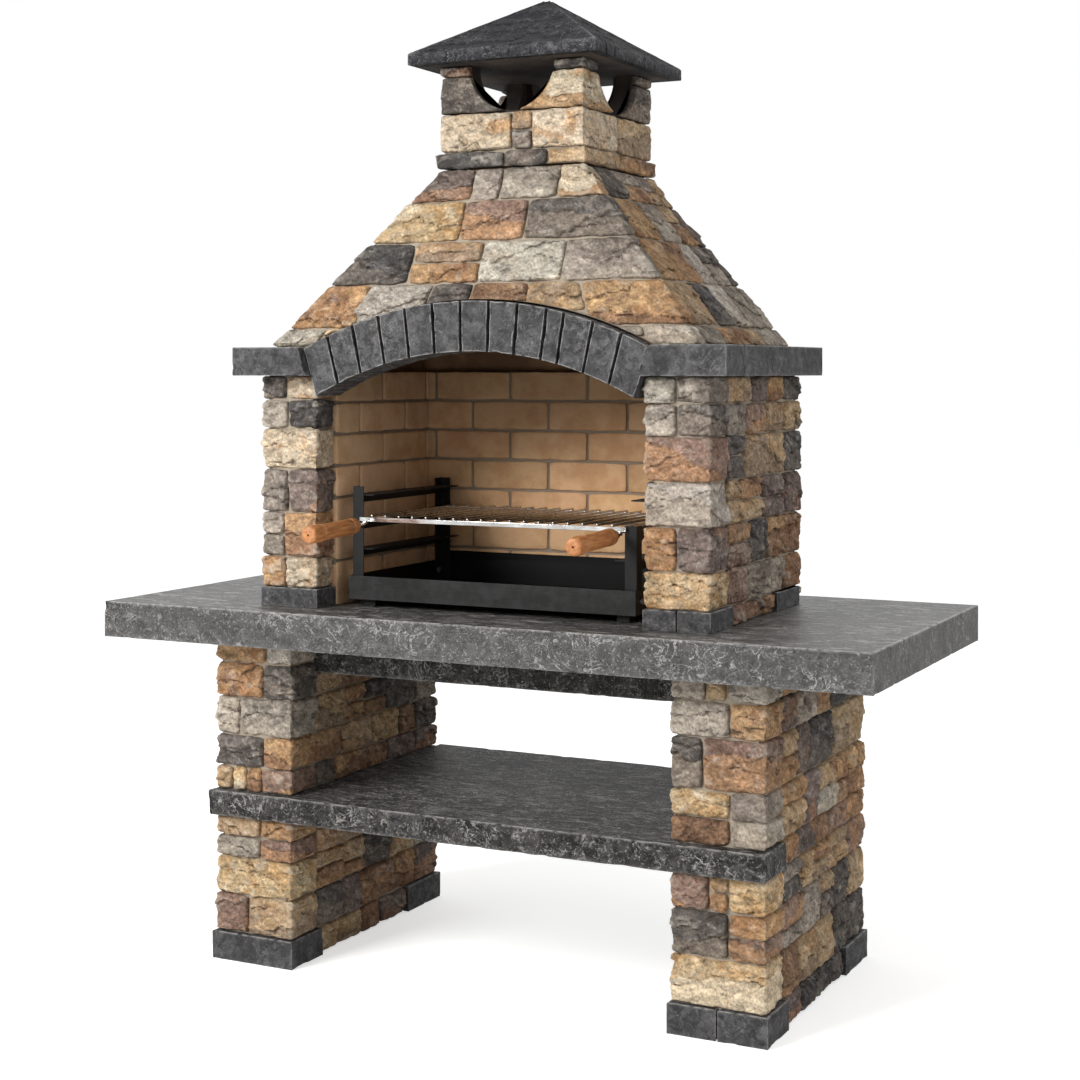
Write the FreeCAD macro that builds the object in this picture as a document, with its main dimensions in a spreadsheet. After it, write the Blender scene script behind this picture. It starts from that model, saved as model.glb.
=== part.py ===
import FreeCAD, Part
import math
import os
import random
import re
import Sketcher
from FreeCAD import Rotation, Vector

# A masonry barbecue, in millimetres: two stone-faced legs carry a shelf, a bearer and a worktop slab, and on
# the worktop stands a firebox of stone-faced walls lined with firebrick, under a flat arch, a hood and a
# chimney. A steel fire tray with two angle frames stands in the firebox and slides out, and the cooking grid
# slides on the frames' rails. +X is to the right, +Y to the back, +Z up, with the origin on the ground.

SIZES = {
    # cooking grid
    "grid_width": 640, "grid_depth": 400, "rod_count": 18, "rod_diameter": 6, "rod_margin": 22,
    "bar_height": 10, "bar_thickness": 6, "bar_overhang": 10,
    # handles
    "grip_length": 195, "grip_diameter": 40, "end_round": 4,
    "shank_diameter": 9, "shank_reach": 38, "shank_insert": 130,
    "ferrule_diameter": 18, "ferrule_length": 20, "handle_inset": 4, "handle_droop": 3,
    # fire tray with its angle frames
    "running_clearance": 0.3, "grid_side_clearance": 4, "angle_thickness": 3, "upright_flange": 28,
    "upright_setback": 13, "upright_rise": 18, "short_upright_rise": 2, "middle_post_setback": 90,
    "rail_width": 50, "rail_drop": 20, "first_rail_height": 133, "rail_pitch": 61,
    "tray_sheet": 3, "tray_height": 53, "tray_back_height": 76, "grid_setback": 5, "tray_rear_margin": 15,
    "foot_height": 17.7, "foot_width": 30, "foot_inset": 25,
    "bolt_neck": 8, "bolt_head_width": 13, "bolt_head_height": 5.5, "bolt_height": 26,
    # stone facing
    "stone_thickness": 16, "stone_joint": 7, "side_course": 47, "side_stone": 105, "quoin_return": 108,
    # legs and shelf
    "plinth_height": 63, "plinth_proud": 9, "plinth_length": 131, "rear_plinth_length": 162,
    "leg_width": 202, "leg_end_setback": 252, "leg_front_setback": 96, "leg_back_setback": 70,
    "shelf_height": 335, "shelf_thickness": 56, "shelf_front_proud": 25, "shelf_back_proud": 19,
    "bearer_height": 81, "bearer_seat": 60,
    "worktop_height": 820, "worktop_thickness": 82, "worktop_arris": 4,
    # firebox
    "tray_setback": 61, "tray_side_gap": 40, "tray_back_gap": 16, "pillar_reveal": 8, "pillar_width": 142,
    "pillar_return": 75, "brick_thickness": 28, "brick_length": 200, "brick_height": 65, "brick_joint": 7.5,
    "lining_rise": 7, "back_wall_thickness": 30, "wall_height": 525,
    "front_ledge": 105, "back_ledge": 156, "wing_width": 375,
    "firebox_plinth_height": 43, "firebox_plinth_proud": 5, "firebox_plinth_length": 132,
    "firebox_rear_plinth_length": 155,
    # mantel and arch
    "mantel_thickness": 64, "mantel_front_overhang": 48, "mantel_side_overhang": 55, "mantel_block_depth": 115,
    "arch_radius": 814, "arch_crown_height": 52, "arch_ring": 110, "arch_depth": 98, "arch_recess": 24,
    "arch_joint": 4, "skewback_angle": 18, "voussoir_count": 13, "narrow_voussoir": 9, "narrow_share": 0.6,
    # hood and chimney
    "hood_height": 405, "hood_side_inset": 20, "hood_front_proud": 1, "core_wall": 40, "hip_return": 46,
    "chimney_width": 358, "chimney_depth": 378, "chimney_back_inset": 17, "chimney_height": 198,
    "collar_height": 38, "collar_proud": 8, "smoke_radius": 108,
    "cap_overhang": 56, "cap_fascia": 27, "cap_rise": 141, "cap_tip": 14,
}

# Places that follow from the sizes: half widths from the middle, then depths, then heights
PLACES = {
    "grid_half": "grid_width / 2",
    "upright_inner": "grid_half + grid_side_clearance",
    "tray_inner": "upright_inner + upright_flange",
    "tray_half": "tray_inner + tray_sheet",
    "lining_half": "tray_half + tray_side_gap",
    "wall_inner": "lining_half + brick_thickness",
    "pillar_inner": "lining_half + pillar_reveal",
    "firebox_half": "pillar_inner + pillar_width",
    "wall_outer": "firebox_half - stone_thickness",
    "mantel_half": "firebox_half + mantel_side_overhang",
    "worktop_half": "firebox_half + wing_width",
    "leg_outer": "worktop_half - leg_end_setback",
    "leg_inner": "leg_outer - leg_width",
    "bearer_half": "leg_inner + stone_thickness + bearer_seat",
    "shelf_half": "leg_outer + plinth_proud",
    "hood_half": "firebox_half - hood_side_inset",
    "chimney_half": "chimney_width / 2",
    "handle_x": "grid_half - handle_inset",
    "tray_depth": "grid_setback + grid_depth + tray_rear_margin",
    "firebox_depth": "tray_setback + tray_depth + tray_back_gap + brick_thickness"
                     " + back_wall_thickness + stone_thickness",
    "worktop_depth": "front_ledge + firebox_depth + back_ledge",
    "handle_overhang": "(shank_reach + grip_length) * cos(handle_droop)"
                       " + (grip_diameter / 2 - end_round) * sin(handle_droop)"
                       " - front_ledge - tray_setback - grid_setback",
    "worktop_front": "(handle_overhang - worktop_depth) / 2",
    "worktop_back": "worktop_front + worktop_depth",
    "firebox_front": "worktop_front + front_ledge",
    "firebox_back": "firebox_front + firebox_depth",
    "tray_front": "firebox_front + tray_setback",
    "tray_back": "tray_front + tray_depth",
    "grid_front": "tray_front + grid_setback",
    "grid_back": "grid_front + grid_depth",
    "upright_front": "tray_front + upright_setback",
    "upright_back": "tray_back - tray_sheet",
    "lining_front": "firebox_front + pillar_return",
    "lining_back": "tray_back + tray_back_gap",
    "back_wall_front": "lining_back + brick_thickness",
    "back_wall_back": "back_wall_front + back_wall_thickness",
    "mantel_front": "firebox_front - mantel_front_overhang",
    "arch_front": "mantel_front + arch_recess",
    "hood_front": "firebox_front - hood_front_proud",
    "chimney_back": "firebox_back - chimney_back_inset",
    "chimney_front": "chimney_back - chimney_depth",
    "leg_front": "worktop_front + leg_front_setback",
    "leg_back": "worktop_back - leg_back_setback",
    "bearer_front": "leg_front + quoin_return",
    "bearer_back": "leg_back - quoin_return",
    "shelf_top": "shelf_height + shelf_thickness",
    "worktop_bottom": "worktop_height - worktop_thickness",
    "bearer_bottom": "worktop_bottom - bearer_height",
    "mantel_bottom": "worktop_height + wall_height",
    "mantel_top": "mantel_bottom + mantel_thickness",
    "arch_centre": "mantel_bottom + arch_crown_height - arch_radius",
    "hood_top": "mantel_top + hood_height",
    "collar_top": "hood_top + collar_height",
    "cap_bottom": "collar_top + chimney_height",
    "tray_bottom": "worktop_height + running_clearance + foot_height",
    "tray_floor": "tray_bottom + tray_sheet",
    "low_rail": "worktop_height + first_rail_height",
    "grid_rail": "low_rail + rail_pitch",
    "top_rail": "grid_rail + rail_pitch",
    "grid_bottom": "grid_rail + running_clearance",
    "grid_top": "grid_bottom + bar_height",
    "shank_z": "grid_bottom - shank_diameter / 2",
}

# Stones of each front face, course by course from the bottom: the course's share of the height, then the
# shares of the width from left to right; a pair is a stone's share and the number of stones stacked there
LEFT_LEG_LOWER = [(40, (42, 58)), (38, (100,)), (44, ((58, 2), (42, 2)))]
LEFT_LEG_UPPER = [(23, (20, 20, 20, 40)), (30, (62, 38)), (36, (30, 70)), (33, (62, 38)), (22, (65, 35))]
RIGHT_LEG_LOWER = [(50, (100,)), (47, (60, (40, 2))), (38, (40, (20, 2), 40))]
RIGHT_LEG_UPPER = [(50, ((62, 2), (38, 2))), (48, (33, 67)), (33, (62, 38)), (24, (36, 23, 41))]
LEFT_PILLAR = [(30, (42, 58)), (43, ((38, 2), 62)), (42, (45, 55)), (39, (100,)), (28, (45, 55)),
               (23, (42, 58))]
RIGHT_PILLAR = [(37, (100,)), (44, (48, 52)), (44, (100,)), (44, (100,)), (32, (48, 52)),
                (27, (47, 53))]
HOOD_FRONT = [(42, (12, 14, 24, 24, 14, 12)), (98, (17, 18, 11, 15, 14, 25)), (95, (22, (24, 2), 28, 26)),
              (94, (33, 28, 39)), (76, (29, 17, 34, 20))]
CHIMNEY_FRONT = [(88, (50, (14, 2), 36)), (85, (50, 50)), (25, (50, 50))]
COLLAR_FRONT = [(38, (46, 29, 25))]
PATTERN_SEED = 7
STACKED_SHARE = 0.35

doc = FreeCAD.newDocument("masonry_barbecue")
sheet = doc.addObject("Spreadsheet::Sheet", "Sizes")
for row, (name, amount) in enumerate(SIZES.items(), start=1):
    sheet.set(f"A{row}", name)
    sheet.set(f"B{row}", str(amount))
    sheet.setAlias(f"B{row}", name)
doc.recompute()


def tied(formula):
    """The formula with every size and place named where the document keeps it."""
    def owner(match):
        word = match.group(0)
        return f"Sizes.{word}" if word in SIZES else f"Places.{word}" if word in PLACES else word
    return re.sub(r"[a-z_]+", owner, formula)


places = doc.addObject("App::VarSet", "Places")
for name in PLACES:
    places.addProperty("App::PropertyFloat", name)
for name, formula in PLACES.items():
    places.setExpression(name, tied(formula))
doc.recompute()


def size(name):
    """The present value of a size from the sheet or of a place worked out from it."""
    return getattr(places, name) if name in PLACES else float(sheet.get(name))


NODES = {}


def node(name, thing):
    """Names a finished sub-part."""
    thing.Label = name
    NODES[name] = thing
    return thing


def bind(thing, **formulas):
    """Binds properties to formulas on the sizes; x, y and z are the placement's base."""
    for key, formula in formulas.items():
        path = f"Placement.Base.{key}" if key in ("x", "y", "z") else key
        thing.setExpression(path, tied(formula))
    return thing


def box(name, x0, x1, y0, y1, z0, z1):
    """A block between two formulas along each axis."""
    thing = doc.addObject("Part::Box", name)
    return bind(thing, x=x0, y=y0, z=z0, Length=f"({x1}) - ({x0})", Width=f"({y1}) - ({y0})",
                Height=f"({z1}) - ({z0})")


def rod(name, diameter, length, x, y, z, turn):
    """A round bar from a point; turn is the rotation that lays its axis."""
    thing = doc.addObject("Part::Cylinder", name)
    thing.Placement.Rotation = turn
    return bind(thing, Radius=f"{diameter} / 2", Height=length, x=x, y=y, z=z)


def group(name, things):
    """Several separate solids that make one sub-part."""
    bundle = doc.addObject("Part::Compound", name)
    bundle.Links = things
    return bundle


def cut(name, base, tool):
    """One object less another."""
    result = doc.addObject("Part::Cut", name)
    result.Base = base
    result.Tool = tool
    return result


def outline(body, name, plane, corners, offset=None):
    """A closed sketch of straight sides, each corner held at two formulas from the body's origin."""
    sketch = body.newObject("Sketcher::SketchObject", name)
    support = next(f for f in body.Origin.OriginFeatures if f.Role == plane)
    sketch.AttachmentSupport = [(support, "")]
    sketch.MapMode = "FlatFace"
    if offset:
        sketch.setExpression("AttachmentOffset.Base.z", tied(offset))
    flat = doc.addObject("App::VarSet", f"{name}_corners")
    for index, corner in enumerate(corners):
        for axis, formula in zip("xy", corner):
            flat.addProperty("App::PropertyFloat", f"{axis}{index}")
            flat.setExpression(f"{axis}{index}", tied(formula))
    doc.recompute()
    points = [Vector(getattr(flat, f"x{i}"), getattr(flat, f"y{i}"), 0) for i in range(len(corners))]
    for index, point in enumerate(points):
        sketch.addGeometry(Part.LineSegment(point, points[(index + 1) % len(points)]))
    for index in range(len(points)):
        sketch.addConstraint(sketcher_joint(index, (index + 1) % len(points)))
    for index, (point, corner) in enumerate(zip(points, corners)):
        for kind, reach, formula in (("DistanceX", point.x, corner[0]), ("DistanceY", point.y, corner[1])):
            number = sketch.addConstraint(sketcher_place(kind, index, reach))
            sketch.setExpression(f"Constraints[{number}]", tied(formula))
    doc.removeObject(flat.Name)
    return sketch


def sketcher_joint(first, second):
    """The end of one line on the start of the next."""
    return Sketcher.Constraint("Coincident", first, 2, second, 1)


def sketcher_place(kind, line, reach):
    """The start of a line at a signed distance from the sketch's origin."""
    return Sketcher.Constraint(kind, -1, 1, line, 1, reach)


def pad(body, sketch, length):
    """A pad of a sketch, bound to a length."""
    feature = body.newObject("PartDesign::Pad", f"{sketch.Name}_pad")
    feature.Profile = sketch
    feature.setExpression("Length", tied(length))
    return feature


def pocket(body, sketch, depth):
    """A pocket cut up from a sketch, along the sketch's own normal."""
    feature = body.newObject("PartDesign::Pocket", f"{sketch.Name}_pocket")
    feature.Profile = sketch
    feature.Reversed = True
    feature.setExpression("Length", tied(depth))
    return feature


def rectangle(x0, x1, y0, y1):
    """The four corners of a rectangle, as formulas."""
    return [(x0, y0), (x1, y0), (x1, y1), (x0, y1)]


def mirrored(corners):
    """The corners on the other side of the middle, in reverse so that they go round the same way."""
    return [(f"-({x})", y) for x, y in reversed(corners)]


# Legs: block cores on plinth blocks, with the shelf, the bearer and the worktop slab
bearer = node("bearer_slab", box("bearer_slab", "-bearer_half", "bearer_half", "bearer_front", "bearer_back",
                                 "bearer_bottom", "worktop_bottom"))
CORE_FRONT = "leg_front + stone_thickness"
CORE_BACK = "leg_back - stone_thickness"
PLINTH_FRONT = "leg_front - plinth_proud"
PLINTH_BACK = "leg_back + plinth_proud"
for side, sign in (("left", "-"), ("right", "")):
    near, far = ("leg_outer", "leg_inner") if sign else ("leg_inner", "leg_outer")
    plinth_x = (f"{sign}{near} - plinth_proud", f"{sign}{far} + plinth_proud")
    front_end = f"{PLINTH_FRONT} + plinth_length"
    rear_start = f"{PLINTH_BACK} - rear_plinth_length"
    core_x = (f"{sign}{near} + stone_thickness", f"{sign}{far} - stone_thickness")
    middle = f"{sign}(leg_inner + leg_outer) / 2"
    fronts = [plinth_x] if sign else [(plinth_x[0], f"{middle} - stone_joint / 2"),
                                      (f"{middle} + stone_joint / 2", plinth_x[1])]
    blocks = [box(f"{side}_plinth_front_{i}", *span, PLINTH_FRONT, front_end, "0", "plinth_height")
              for i, span in enumerate(fronts)]
    blocks.append(box(f"{side}_plinth_rear", *plinth_x, rear_start, PLINTH_BACK, "0", "plinth_height"))
    node(f"{side}_leg_plinth", group(f"{side}_leg_plinth", blocks))
    seats = group(f"{side}_plinth_seats", [
        box(f"{side}_seat_front", *plinth_x, PLINTH_FRONT, front_end, "0", "plinth_height"),
        box(f"{side}_seat_rear", *plinth_x, rear_start, PLINTH_BACK, "0", "plinth_height")])
    lower = box(f"{side}_lower_block", *core_x, CORE_FRONT, CORE_BACK, "0", "shelf_height")
    node(f"{side}_leg_lower_core", cut(f"{side}_leg_lower_core", lower, seats))
    upper = box(f"{side}_upper_block", *core_x, CORE_FRONT, CORE_BACK, "shelf_top", "worktop_bottom")
    node(f"{side}_leg_upper_core", cut(f"{side}_leg_upper_core", upper, bearer))

shelf = node("lower_shelf", doc.addObject("PartDesign::Body", "lower_shelf"))
SHELF_FRONT = "leg_front - shelf_front_proud"
half_shelf = [("shelf_half", SHELF_FRONT), ("shelf_half", "bearer_front"),
              ("leg_outer - stone_thickness", "bearer_front"), ("leg_outer - stone_thickness", CORE_BACK),
              ("leg_inner", CORE_BACK), ("leg_inner", "leg_back + shelf_back_proud")]
shelf_plan = outline(shelf, "shelf_plan", "XY_Plane", half_shelf + mirrored(half_shelf), "shelf_height")
pad(shelf, shelf_plan, "shelf_thickness")

worktop = node("worktop_slab", doc.addObject("PartDesign::Body", "worktop_slab"))
worktop_plan = outline(worktop, "worktop_plan", "XY_Plane", offset="worktop_bottom", corners=rectangle(
    "-worktop_half", "worktop_half", "worktop_front", "worktop_back"))
slab = pad(worktop, worktop_plan, "worktop_thickness")
doc.recompute()
arris = worktop.newObject("PartDesign::Chamfer", "worktop_arris")
arris.Base = (slab, [f"Edge{i}" for i, edge in enumerate(slab.Shape.Edges, start=1)
                     if edge.BoundBox.ZLength < size("worktop_arris")])
arris.setExpression("Size", tied("worktop_arris"))

# Firebox: walls on the worktop, plinth blocks, and the mantel course that caps the walls
for side, sign in (("left", "-"), ("right", "")):
    near, far = ("wall_outer", "wall_inner") if sign else ("wall_inner", "wall_outer")
    node(f"{side}_side_wall", box(f"{side}_side_wall", sign + near, sign + far,
                                  "firebox_front + stone_thickness", "back_wall_back",
                                  "worktop_height", "mantel_bottom"))
node("back_wall", box("back_wall", "-wall_inner", "wall_inner", "back_wall_front", "back_wall_back",
                      "worktop_height", "mantel_bottom"))

MANTEL_SEAM = "mantel_front + mantel_block_depth"
skew = [("pillar_inner", "mantel_bottom"), ("mantel_half", "mantel_bottom"),
        ("mantel_half", "mantel_top"),
        ("pillar_inner + mantel_thickness * tan(skewback_angle)", "mantel_top")]
for side, sign, corners in (("left", "-", mirrored(skew)), ("right", "", skew)):
    block = node(f"{side}_mantel_block", doc.addObject("PartDesign::Body", f"{side}_mantel_block"))
    pad(block, outline(block, f"{side}_mantel_face", "XZ_Plane", corners, f"-({MANTEL_SEAM})"),
        "mantel_block_depth")
    near, far = ("mantel_half", "wall_inner") if sign else ("wall_inner", "mantel_half")
    node(f"{side}_mantel_slab", box(f"{side}_mantel_slab", sign + near, sign + far, MANTEL_SEAM,
                                    "firebox_back", "mantel_bottom", "mantel_top"))
node("rear_mantel_slab", box("rear_mantel_slab", "-wall_inner", "wall_inner", "back_wall_front",
                             "firebox_back", "mantel_bottom", "mantel_top"))


def plain(name, shapes):
    """A sub-part whose separate solids are worked out here."""
    thing = doc.addObject("Part::Feature", name)
    thing.Shape = Part.makeCompound(shapes)
    return node(name, thing)


def plinth_block(x0, x1, y0, y1):
    """A plinth block of the firebox, round the foot of a wall and clear of its core."""
    height = size("firebox_plinth_height")
    floor = size("worktop_height")
    block = Part.makeBox(x1 - x0, y1 - y0, height, Vector(x0, y0, floor))
    for sign in (-1, 1):
        inner, outer = sorted((sign * size("wall_inner"), sign * size("wall_outer")))
        core_front = size("firebox_front") + size("stone_thickness")
        core = Part.makeBox(outer - inner, size("back_wall_back") - core_front, height,
                            Vector(inner, core_front, floor))
        block = block.cut(core)
    return block


PROUD = size("firebox_plinth_proud")
blocks = []
for sign in (-1, 1):
    inner = size("pillar_inner") - PROUD
    outer = size("firebox_half") + PROUD
    seam = (inner + outer) / 2
    spans = [(inner, outer)] if sign < 0 else [(inner, seam - size("stone_joint") / 2),
                                              (seam + size("stone_joint") / 2, outer)]
    front = size("firebox_front") - PROUD
    for span in spans:
        x0, x1 = sorted((sign * span[0], sign * span[1]))
        inner_block = span[0] == inner
        front_block = plinth_block(x0, x1, front, front + size("firebox_plinth_length"))
        if inner_block:
            x_low, x_high = sorted((sign * inner, sign * size("wall_inner")))
            behind = Part.makeBox(x_high - x_low, size("firebox_plinth_length"), size("firebox_plinth_height"),
                                  Vector(x_low, size("lining_front"), size("worktop_height")))
            front_block = front_block.cut(behind)
        blocks.append(front_block)
    x0, x1 = sorted((sign * size("wall_outer"), sign * outer))
    back = size("back_wall_back")
    blocks.append(plinth_block(x0, x1, back - size("firebox_rear_plinth_length"), back))
plain("firebox_plinths", blocks)


def arch_point(angle, radius):
    """Where a joint at an angle from upright meets a circle of the arch: joints point at one focus below."""
    focus = size("mantel_bottom") - size("pillar_inner") / math.tan(math.radians(size("skewback_angle")))
    rise = size("arch_centre") - focus
    reach = rise * math.cos(angle) + math.sqrt(radius ** 2 - (rise * math.sin(angle)) ** 2)
    return Vector(reach * math.sin(angle), size("arch_front"), focus + reach * math.cos(angle))


def voussoir(start, end):
    """One arch stone between two joints, with the ring's own curves above and below."""
    inside = size("arch_radius")
    outside = inside + size("arch_ring")
    middle = (start + end) / 2
    low = [arch_point(place, inside) for place in (start, middle, end)]
    high = [arch_point(place, outside) for place in (end, middle, start)]
    edges = [Part.Arc(*low).toShape(), Part.makeLine(low[-1], high[0]),
             Part.Arc(*high).toShape(), Part.makeLine(high[-1], low[0])]
    return Part.Face(Part.Wire(edges)).extrude(Vector(0, size("arch_depth"), 0))


shares = [1.0] * int(size("voussoir_count"))
shares[int(size("narrow_voussoir"))] = size("narrow_share")
half_angle = math.radians(size("skewback_angle"))
gap_angle = size("arch_joint") / (size("arch_radius") + size("arch_ring")) / 2
angle = -half_angle
voussoirs = []
for number, share in enumerate(shares):
    end = angle + 2 * half_angle * share / sum(shares)
    start_gap = gap_angle if number else 0
    end_gap = gap_angle if number < len(shares) - 1 else 0
    voussoirs.append(voussoir(angle + start_gap, end - end_gap))
    angle = end
plain("arch_voussoirs", voussoirs)

# Hood and chimney cores: a hollow tapering hood and a square flue with a round smoke opening on each side
UPRIGHT = Rotation(Vector(1, 0, 0), 90)
ALONG_Y = Rotation(Vector(1, 0, 0), -90)
ALONG_X = Rotation(Vector(0, 1, 0), 90)


def taper(name, inset):
    """The hood's tapering block, drawn in on every side by an inset."""
    thing = doc.addObject("Part::Wedge", name)
    thing.Placement.Rotation = UPRIGHT
    return bind(thing, Xmin=f"-hood_half + {inset}", Xmax=f"hood_half - ({inset})",
                X2min=f"-chimney_half + {inset}", X2max=f"chimney_half - ({inset})",
                Ymin="mantel_top", Ymax="hood_top",
                Zmin=f"-firebox_back + {inset}", Zmax=f"-hood_front - ({inset})",
                Z2min=f"-chimney_back + {inset}", Z2max=f"-chimney_front - ({inset})")


def tube(name, inset, bottom, top):
    """A square block on the chimney's outline, drawn in by an inset."""
    return box(name, f"-chimney_half + {inset}", f"chimney_half - ({inset})", f"chimney_front + {inset}",
               f"chimney_back - ({inset})", bottom, top)


hood_shell = cut("hood_shell", taper("hood_block", "stone_thickness"),
                 taper("hood_space", "stone_thickness + core_wall"))
arch_seat = rod("arch_seat", "2 * (arch_radius + arch_ring)", "arch_depth",
                "0", "arch_front", "arch_centre", ALONG_Y)
arch_clear = rod("arch_clear", "2 * (arch_radius + arch_ring + arch_joint)", "arch_depth",
                 "0", "arch_front", "arch_centre", ALONG_Y)
node("hood_core", cut("hood_core", hood_shell, arch_seat))
flue_shell = cut("flue_shell", tube("flue_block", "stone_thickness", "hood_top", "cap_bottom"),
                 tube("flue_space", "stone_thickness + core_wall", "hood_top", "cap_bottom"))
smoke_ways = group("smoke_ways", [
    rod("smoke_way_front", "2 * smoke_radius", "chimney_depth + 2 * cap_overhang",
        "0", "chimney_front - cap_overhang", "cap_bottom", ALONG_Y),
    rod("smoke_way_side", "2 * smoke_radius", "chimney_width + 2 * cap_overhang",
        "-chimney_half - cap_overhang", "(chimney_front + chimney_back) / 2", "cap_bottom", ALONG_X)])
node("chimney_flue", cut("chimney_flue", flue_shell, smoke_ways))

CAP_MIDDLE = "(chimney_front + chimney_back) / 2"
fascia = tube("cap_fascia_block", "-cap_overhang", "cap_bottom", "cap_bottom + cap_fascia")
slopes = doc.addObject("Part::Wedge", "cap_slopes")
slopes.Placement.Rotation = UPRIGHT
bind(slopes, Xmin="-chimney_half - cap_overhang", Xmax="chimney_half + cap_overhang", X2min="-cap_tip / 2",
     X2max="cap_tip / 2", Ymin="cap_bottom + cap_fascia", Ymax="cap_bottom + cap_fascia + cap_rise",
     Zmin="-chimney_back - cap_overhang", Zmax="-chimney_front + cap_overhang",
     Z2min=f"-({CAP_MIDDLE}) - cap_tip / 2", Z2max=f"-({CAP_MIDDLE}) + cap_tip / 2")
cap = node("chimney_cap", doc.addObject("Part::MultiFuse", "chimney_cap"))
cap.Shapes = [fascia, slopes]


class Facing:
    """A ring of facing stone on a rectangular core, whose faces may lean in as they rise."""

    def __init__(self, bottom, top, z_bottom, z_top, thickness):
        self.bottom, self.top = bottom, top
        self.z_bottom, self.z_top = z_bottom, z_top
        self.thickness = thickness

    def plan(self, z):
        """The stone faces' left, right, front and back at a height."""
        share = (z - self.z_bottom) / (self.z_top - self.z_bottom)
        return [low + (high - low) * share for low, high in zip(self.bottom, self.top)]

    def corner(self, x_face, y_face, z):
        """The outer and inner points of a corner: x_face is 0 left or 1 right, y_face is 2 front or 3 back."""
        plan = self.plan(z)
        x_in = self.thickness * (1 if x_face == 0 else -1)
        y_in = self.thickness * (1 if y_face == 2 else -1)
        return Vector(plan[x_face], plan[y_face], z), Vector(plan[x_face] + x_in, plan[y_face] + y_in, z)

    def station(self, face, reach, z):
        """The outer and inner points on one face (0 left, 1 right, 2 front, 3 back) at a reach along it."""
        depth = self.plan(z)[face]
        inner = depth + self.thickness * (1 if face in (0, 2) else -1)
        if face in (2, 3):
            return Vector(reach, depth, z), Vector(reach, inner, z)
        return Vector(depth, reach, z), Vector(inner, reach, z)


def stone(low, high):
    """A stone between its stations at its bed and at its top: a slip has two, a corner stone three or four."""
    def face(points):
        return Part.Face(Part.makePolygon(points + points[:1]))
    faces = [face([pair[0] for pair in level] + [pair[1] for pair in reversed(level)])
             for level in (low, high)]
    for a, b, c, d in zip(low, low[1:], high[1:], high):
        faces += [face([a[i], b[i], c[i], d[i]]) for i in (0, 1)]
    for end in (0, -1):
        faces.append(face([low[end][0], low[end][1], high[end][1], high[end][0]]))
    solid = Part.Solid(Part.Shell(faces))
    if solid.Volume < 0:
        solid.reverse()
    return solid


def end_face_row(ring, face, z0, z1, widths, left_return, right_return):
    """One course across the front or back: its end stones turn the corners and run back by their returns."""
    gap = size("stone_joint") / 2
    plan = ring.plan((z0 + z1) / 2)
    inward = 1 if face == 2 else -1
    pairs = [width if isinstance(width, tuple) else (width, 1) for width in widths]
    total = sum(share for share, _ in pairs)
    reach = plan[0]
    stones = []
    for index, (share, stack) in enumerate(pairs):
        end = reach + (plan[1] - plan[0]) * share / total
        for level in range(stack):
            low = z0 + (z1 - z0) * level / stack + gap
            high = z0 + (z1 - z0) * (level + 1) / stack - gap
            levels = []
            for z in (low, high):
                stations = []
                if index == 0:
                    stations = [ring.station(0, ring.plan(z)[face] + inward * (left_return - gap), z),
                                ring.corner(0, face, z)]
                else:
                    stations = [ring.station(face, reach + gap, z)]
                if index == len(pairs) - 1:
                    stations += [ring.corner(1, face, z),
                                 ring.station(1, ring.plan(z)[face] + inward * (right_return - gap), z)]
                else:
                    stations.append(ring.station(face, end - gap, z))
                levels.append(stations)
            stones.append(stone(*levels))
        reach = end
    return stones


def course_levels(courses, z0, z1):
    """Heights of the bed joints of a table's courses, shared out between a floor and a ceiling."""
    total = sum(height for height, _ in courses)
    levels = [z0]
    for height, _ in courses[:-1]:
        levels.append(levels[-1] + (z1 - z0) * height / total)
    return levels + [z1]


def end_face(ring, face, courses, z0, z1, left_return, right_return):
    """All the courses of a front or back, shared out over a height."""
    levels = course_levels(courses, z0, z1)
    stones = []
    for (_, widths), low, high in zip(courses, levels, levels[1:]):
        stones += end_face_row(ring, face, low, high, widths, left_return, right_return)
    return stones


def uneven(amount, pitch, spread, dice):
    """An amount split into parts of about a pitch, each off it by up to a spread."""
    count = max(1, round(amount / pitch))
    parts = [1 + spread * dice.uniform(-1, 1) for _ in range(count)]
    return [amount * part / sum(parts) for part in parts]


def side_face(ring, face, front_return, back_return, levels, seed):
    """Courses of slips on a side, between the returns of the corner stones in front and behind.

    A course that is tall enough for it has, here and there, two slips one above the other.
    """
    gap = size("stone_joint") / 2
    dice = random.Random(PATTERN_SEED * seed)
    stones = []
    for z0, z1 in zip(levels, levels[1:]):
        plan = ring.plan((z0 + z1) / 2)
        length = plan[3] - back_return - plan[2] - front_return
        widths = uneven(length, size("side_stone"), 0.4, dice)
        seams = [plan[2] + front_return + sum(widths[:count]) for count in range(1, len(widths))]
        for index in range(len(widths)):
            stacked = z1 - z0 > 1.4 * size("side_course") and dice.random() < STACKED_SHARE
            low = z0
            for height in uneven(z1 - z0, (z1 - z0) / (2 if stacked else 1), 0.25, dice):
                ends = []
                for z in (low + gap, low + height - gap):
                    front, back = ring.plan(z)[2:]
                    reaches = [front + front_return] + seams + [back - back_return]
                    ends.append((ring.station(face, reaches[index] + gap, z),
                                 ring.station(face, reaches[index + 1] - gap, z)))
                stones.append(stone(*ends))
                low += height
    return stones


def rear_courses(courses, width, seed):
    """Courses for a back face that no picture shows: the front's heights with uneven widths."""
    dice = random.Random(PATTERN_SEED * seed)
    return [(height, uneven(width, 1.2 * size("side_stone"), 0.35, dice)) for height, _ in courses]


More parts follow.
